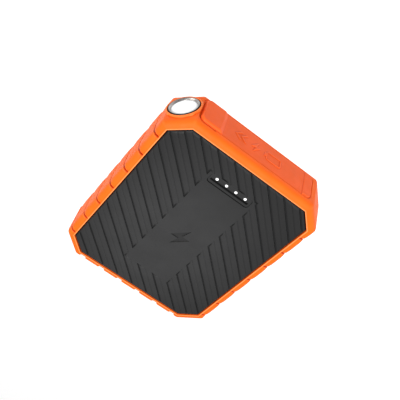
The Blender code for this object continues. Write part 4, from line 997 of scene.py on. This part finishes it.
def box_distance(x, z, centre, half, radius):
    """Signed distance to a rounded box's edge, negative inside."""
    over_x, over_z = np.abs(x - centre[0]) - half[0] + radius, np.abs(z - centre[1]) - half[1] + radius
    outside = np.hypot(np.maximum(over_x, 0), np.maximum(over_z, 0))
    return outside + np.minimum(np.maximum(over_x, over_z), 0) - radius


def flap_signs(x, z):
    """Raised signs on the flap: a battery outline, a bolt and two arrows that point to the pull tab."""
    level = (flap_low.z + flap_high.z) / 2
    battery = np.abs(box_distance(x, z, (-0.0090, level), (0.0044, 0.0030), 0.0008)) - 0.00036
    terminal = box_distance(x, z, (-0.0036, level), (0.0006, 0.0013), 0.0002)
    bolt = polygon_distance(x, z, bolt_outline((0.0026, level), 0.0084))
    signs = np.minimum(np.minimum(battery, terminal), bolt)
    for tip in (0.0120, 0.0154):
        arrow = np.abs((tip - x) - np.abs(z - level)) * math.sqrt(0.5) - 0.00042
        reach = np.abs(z - level) - 0.0032
        signs = np.minimum(signs, np.maximum(arrow, reach))
    return SIGN_RELIEF * (1.0 - smoothstep(-0.00010, 0.00010, signs))


def port_flap():
    panel = Panel(flap_low, flap_high, (0.0, FLAP_R, FLAP_R, 0.0), FLAP_MESH_STEP)
    ramp = smoothstep(*TAB_RAMP, panel.x)
    shoulder = np.sqrt(1.0 - (1.0 - np.clip(panel.edge / TAB_SHOULDER, 0, 1)) ** 2)
    level = (panel.z - (flap_low.z + flap_high.z) / 2) / (flap_high.z - flap_low.z)
    crown = FLAP_CROWN * np.cos(level * math.pi)
    raised = crown + TAB_PROUD * ramp * shoulder + flap_signs(panel.x, panel.z)
    front = WALL_Y + FLAP_SUNK + fillet(panel.edge, FLAP_EDGE_R) * (1.0 - ramp) - raised
    mesh = panel.body("port_flap_skin", np.minimum(front, WALL_Y + FLAP_EDGE_R), FLAP_BACK_Y)
    piece("port_flap_skin", smoothed(mesh, 40.0), "flap", "flap_rubber", "port_flap")


def flap_lip():
    """The sealing lip on the flap's inner side."""
    low = (flap_low.x + 0.0012, BAY_Z[0] + LIP_INSET)
    high = (BAY_X - LIP_INSET, BAY_Z[1] - LIP_INSET)
    crest = ((0.0, -0.0003), (0.0, 0.0003), (-0.00012, 0.00043), (-0.0003, 0.0005))
    mesh = upright_body("flap_lip", low, high, 0.0010, rows_from(*crest, start=FLAP_BACK_Y))
    made = piece("flap_lip", mesh, "flap", "flap_rubber")
    inner = ((-0.0012, -0.001), (-0.0012, 0.0003), (-0.00108, 0.00043), (-0.0009, 0.0005), (-0.0005, 0.001))
    hollow = upright_body("hollow", low, high, 0.0016, rows_from(*inner, start=FLAP_BACK_Y))
    cut(made, [tool(hollow)], 40.0)


def flap_anchor():
    panel = Panel(anchor_low, anchor_high, (FLAP_R, 0.0, 0.0, FLAP_R), ANCHOR_MESH_STEP)
    front = anchor_low.y + fillet(panel.edge, ANCHOR_EDGE_R)
    mesh = panel.body("flap_anchor_skin", front, anchor_high.y)
    piece("flap_anchor_skin", smoothed(mesh, 40.0), "pack", "flap_rubber", "flap_anchor")


def hinge_web():
    """The thin rubber web that joins the anchor to the flap."""
    low_z, high_z = flap_low.z + 0.0003, flap_high.z - 0.0003
    first_x, last_x = HINGE_XY[0] - 0.0011, HINGE_XY[0] + 0.0013
    places = np.linspace(first_x, last_x, 17)
    slope = 0.00035 * (places - first_x) / (last_x - first_x)
    front = WALL_Y - 0.00030 + 0.00022 * hump(places - HINGE_XY[0], 0.0004) + slope
    outline = [*zip(places, front), *((x, WALL_Y + 0.0007) for x in places[::-1])]
    heights = stations(low_z, high_z, 0.0008, (0.0, 0.0001, 0.0003))
    loops = [[(x, y, z) for x, y in outline] for z in heights]
    mesh = smoothed(loft("flap_hinge_web", loops), 40.0)
    made = piece("flap_hinge_web", mesh, None, "flap_rubber")
    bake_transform(made)


# Ports.


def flat_box(node):
    """A node's box seen from -Y, and its front and back."""
    low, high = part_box(node)
    return (low.x, low.z), (high.x, high.z), low.y, high.y


def soft_fronted(name, node, radius, slot):
    """A body over a node's box with a softened front edge."""
    low, high, front, back = flat_box(node)
    rows = [(0.0, back), *rows_from(*SOFT_FRONT, start=front)]
    return piece(name, upright_body(name, low, high, radius, rows), "pack", slot, node)


def port_bezel():
    made = soft_fronted("port_bezel_plate", "port_bezel", BAY_R - GAP, "frame_black")
    _, _, front, back = flat_box("port_bezel")
    tools = []
    for node, radius in PORT_R.items():
        low, high, _, _ = flat_box(node)
        rows = [(GAP, back + 0.001)]
        rows += rows_from((GAP, 0.0004), (GAP + 0.0004, 0.0), (GAP + 0.0009, -0.0005), start=front)
        tools.append(tool(upright_body("opening", low, high, radius, rows)))
    cut(made, tools, 35.0)


def jump_pin(sign):
    """A round contact with a domed tip and a cross slit."""
    node = f"jump_contact_{sign}"
    low, high, tip, root = flat_box(node)
    radius, length = (high[0] - low[0]) / 2, root - tip
    x, z = (low[0] + high[0]) / 2, (low[1] + high[1]) / 2
    bullet = [(0.0, length)]
    bullet += [
        (radius * math.sin(a), length - radius * 0.6 * (1 - math.cos(a))) for a in np.linspace(0.3, 1.57, 7)
    ]
    bullet += [(radius, 0.0010), (radius * 0.86, 0.0008), (radius * 0.86, 0.0), (0.0, 0.0)]
    place = Matrix.Translation((x, root, z)) @ Matrix.Rotation(math.radians(90.0), 4, "X")
    made = piece(f"jump_pin_{sign}", turned("pin", bullet, 48), "pack", "gold_contact", node, place=place)
    slits = []
    rows = ((0.0, tip - 0.001), (0.0, tip + 0.0034))
    for half_x, half_z in ((0.0025, 0.00016), (0.00016, 0.0025)):
        slit = upright_body("slit", (x - half_x, z - half_z), (x + half_x, z + half_z), 0.0001, rows, 2)
        slits.append(tool(slit))
    cut(made, slits, 40.0)


def jump_socket():
    made = soft_fronted("jump_socket_body", "jump_socket", PORT_R["jump_socket"], "socket_blue")
    low, high, front, _ = flat_box("jump_socket")
    bottom = rows_from((-0.0017, 0.0080), (-0.0017, 0.0006), (-0.0011, 0.0), (-0.0006, -0.0005), start=front)
    cut(made, [tool(upright_body("cavity", low, high, 0.0027, bottom))], 35.0)
    jump_pin("positive")
    jump_pin("negative")


def strips(name, places, half_x, half_z, front, back):
    """Flat contacts in one mesh, each with a softened front end."""
    bm = bmesh.new()
    for x, z in places:
        low, high = (x - half_x, z - half_z), (x + half_x, z + half_z)
        rows = ((0.0, back), (0.0, front + 0.0003), (-half_z * 0.7, front))
        strip = upright_body("strip", low, high, half_z * 0.8, rows, 2)
        bm.from_mesh(strip)
        bpy.data.meshes.remove(strip)
    return mesh_from(name, bm)


def usb_socket(name, spots, faces, half_x):
    """A drawn shell with a rolled mouth, and a tongue with gold contacts on one or both faces."""
    low, high, front, back = flat_box(f"{name}_shell")
    radius = PORT_R[f"{name}_shell"]
    rows = [(0.0, back), (0.0, front + 0.0002), (-0.00006, front + 0.00005), (-0.00016, front)]
    case = upright_body("case", low, high, radius, rows)
    made = piece(f"{name}_case", case, "pack", "bright_metal", f"{name}_shell")
    rows = [(-0.0004, back - 0.0008)]
    rows += rows_from((-0.0004, 0.0003), (-0.00026, 0.0), (-0.0001, -0.0003), start=front)
    cut(made, [tool(upright_body("bore", low, high, radius, rows))], 35.0)
    low, high, front, back = flat_box(f"{name}_tongue")
    rows = [(0.0, back), (0.0, front + 0.0004), (-0.00012, front + 0.0001), (-0.00022, front)]
    tongue = upright_body("tongue", low, high, TONGUE_R, rows, 4)
    piece(f"{name}_tongue_bar", smoothed(tongue, 35.0), "pack", "frame_black", f"{name}_tongue")
    heights = (low[1], high[1])[:faces]
    places = [((low[0] + high[0]) / 2 + x, z) for z in heights for x in spots]
    contacts = strips(f"{name}_contacts", places, half_x, 0.00006, front + 0.0005, back - 0.0004)
    piece(f"{name}_contacts", contacts, "pack", "gold_contact")


def ports():
    port_bezel()
    jump_socket()
    usb_socket("usb_a", USB_A_SPOTS, 1, 0.00050)
    usb_socket("usb_c", USB_C_SPOTS, 2, 0.00015)


def rear_screws():
    """Pan heads with a cross recess, seen from below."""
    head = [
        (0.0, 0.00012), (0.0011, 0.00012), (0.0017, 0.00018), (0.0021, 0.00032), (0.0023, 0.00058),
        (0.0023, 0.00130), (0.0012, 0.00130), (0.0012, 0.0128), (0.0008, 0.0136), (0.0, 0.0140),
    ]
    recess = []
    for long, wide, z in ((0.0014, 0.0003, -0.0003), (0.0013, 0.00027, 0.00012), (0.0007, 0.00018, 0.00085)):
        recess.append([(-long, -wide, z), (long, -wide, z), (long, wide, z), (-long, wide, z)])
    for index in range(1, SCREW_COUNT + 1):
        spot, node = screw_spot(index), f"rear_screw_{index}"
        name = f"rear_screw_head_{index}"
        made = piece(name, turned("screw", head, 48), "pack", "bright_metal", node, place=spot)
        tools = []
        for quarter in (0.0, 90.0):
            turn = Matrix.Rotation(math.radians(17.0 * index + quarter), 4, "Z")
            tools.append(tool(loft("recess", recess), spot @ turn))
        cut(made, tools, 35.0)


# Torch.


def torch():
    place = torch_place()
    bezel = [
        (0.00775, 0.00112), (0.00790, 0.0012), (0.00805, 0.0012), (0.00822, 0.00112), (0.00832, 0.00096),
        (0.00835, 0.0007), (0.00835, -0.0012), (0.00695, -0.0012), (0.00695, 0.00010), (0.00702, 0.00030),
        (0.00725, 0.00062), (0.00752, 0.00092),
    ]
    ring = smoothed(turned("torch_bezel_ring", bezel, 96), 40.0)
    piece("torch_bezel_ring", ring, "pack", "dark_chrome", "torch_bezel", place=place)
    lens = [(LENS_R * math.sin(a), 0.0002 + 0.0007 * math.cos(a)) for a in np.linspace(0.0, 1.5, 12)]
    lens += [(LENS_R, 0.0), (LENS_R, -0.0012), (0.0, -0.0012)]
    dome = smoothed(turned("torch_lens_dome", lens, 72), 40.0)
    piece("torch_lens_dome", dome, "pack", "clear_plastic", "torch_lens", place=place)


# Power button and lights.


def button_bar(places):
    """The bar, with its flange under the cover, a trough along it and a hole for each light pipe."""
    bar_rows = (
        (BUTTON_FLANGE, -0.0037), (BUTTON_FLANGE, -0.0025), (0.0, -0.0024), (0.0, -0.00016),
        (-0.00003, -0.00007), (-0.00010, -0.00001), (-0.00018, 0.0),
    )
    rows = [[(x, y, BUTTON_TOP_Z + z) for x, y in button_outline(grow)] for grow, z in bar_rows]
    made = piece("power_button_bar", loft("power_button_bar", rows), "button", "dark_cover", "power_button")
    low = (BUTTON_MID[0] - BUTTON_HALF[0] + TROUGH_END, BUTTON_MID[1] + TROUGH_Y[0])
    high = (BUTTON_MID[0] + BUTTON_HALF[0] - TROUGH_END, BUTTON_MID[1] + TROUGH_Y[1])
    trough = []
    for grow, z in ((-0.0001, -0.0013), (0.0, -0.0001), (0.0001, 0.0), (0.0004, 0.0003)):
        trough.append([(x, y, BUTTON_TOP_Z + z) for x, y in grown_box(low, high, 0.0004, grow, 4)])
    hole = [
        (0.0, -0.006), (LIGHT_R + 0.00012, -0.006), (LIGHT_R + 0.00012, -0.0001), (LIGHT_R + 0.00022, 0.0),
        (LIGHT_R + 0.0005, 0.0003), (0.0, 0.0003),
    ]
    tools = [tool(loft("trough", trough))]
    tools += [tool(turned("pipe_hole", hole, 32), place) for place in places]
    cut(made, tools, 40.0)


def power_button():
    places = [Matrix.Translation((x, LIGHT_Y, BUTTON_TOP_Z)) for x in LIGHT_X]
    button_bar(places)
    dome = [(LIGHT_R * math.sin(a), -0.00016 + 0.00026 * math.cos(a)) for a in np.linspace(0.0, 1.5, 8)]
    dome += [(LIGHT_R, -0.0004), (LIGHT_R, -0.0042), (0.0, -0.0042)]
    for index, place in enumerate(places, 1):
        mesh = smoothed(turned(f"light_pipe_lens_{index}", dome, 32), 40.0)
        piece(mesh.name, mesh, "button", "light_white", f"light_pipe_{index}", place=place)


def dress_frame():
    """Gives every CAD node the finish of its slot."""
    for entry in frame["record"]["subparts"]:
        node = frame["nodes"][entry["node"]]
        node.data.materials.clear()
        node.data.materials.append(FINISH[entry["material_slot"]])


FINISH = finishes()
make_camera()
make_light()
make_floor()
dress_frame()
top_cover()
rear_cover()
bumper()
port_flap()
flap_lip()
flap_anchor()
hinge_web()
ports()
rear_screws()
torch()
power_button()
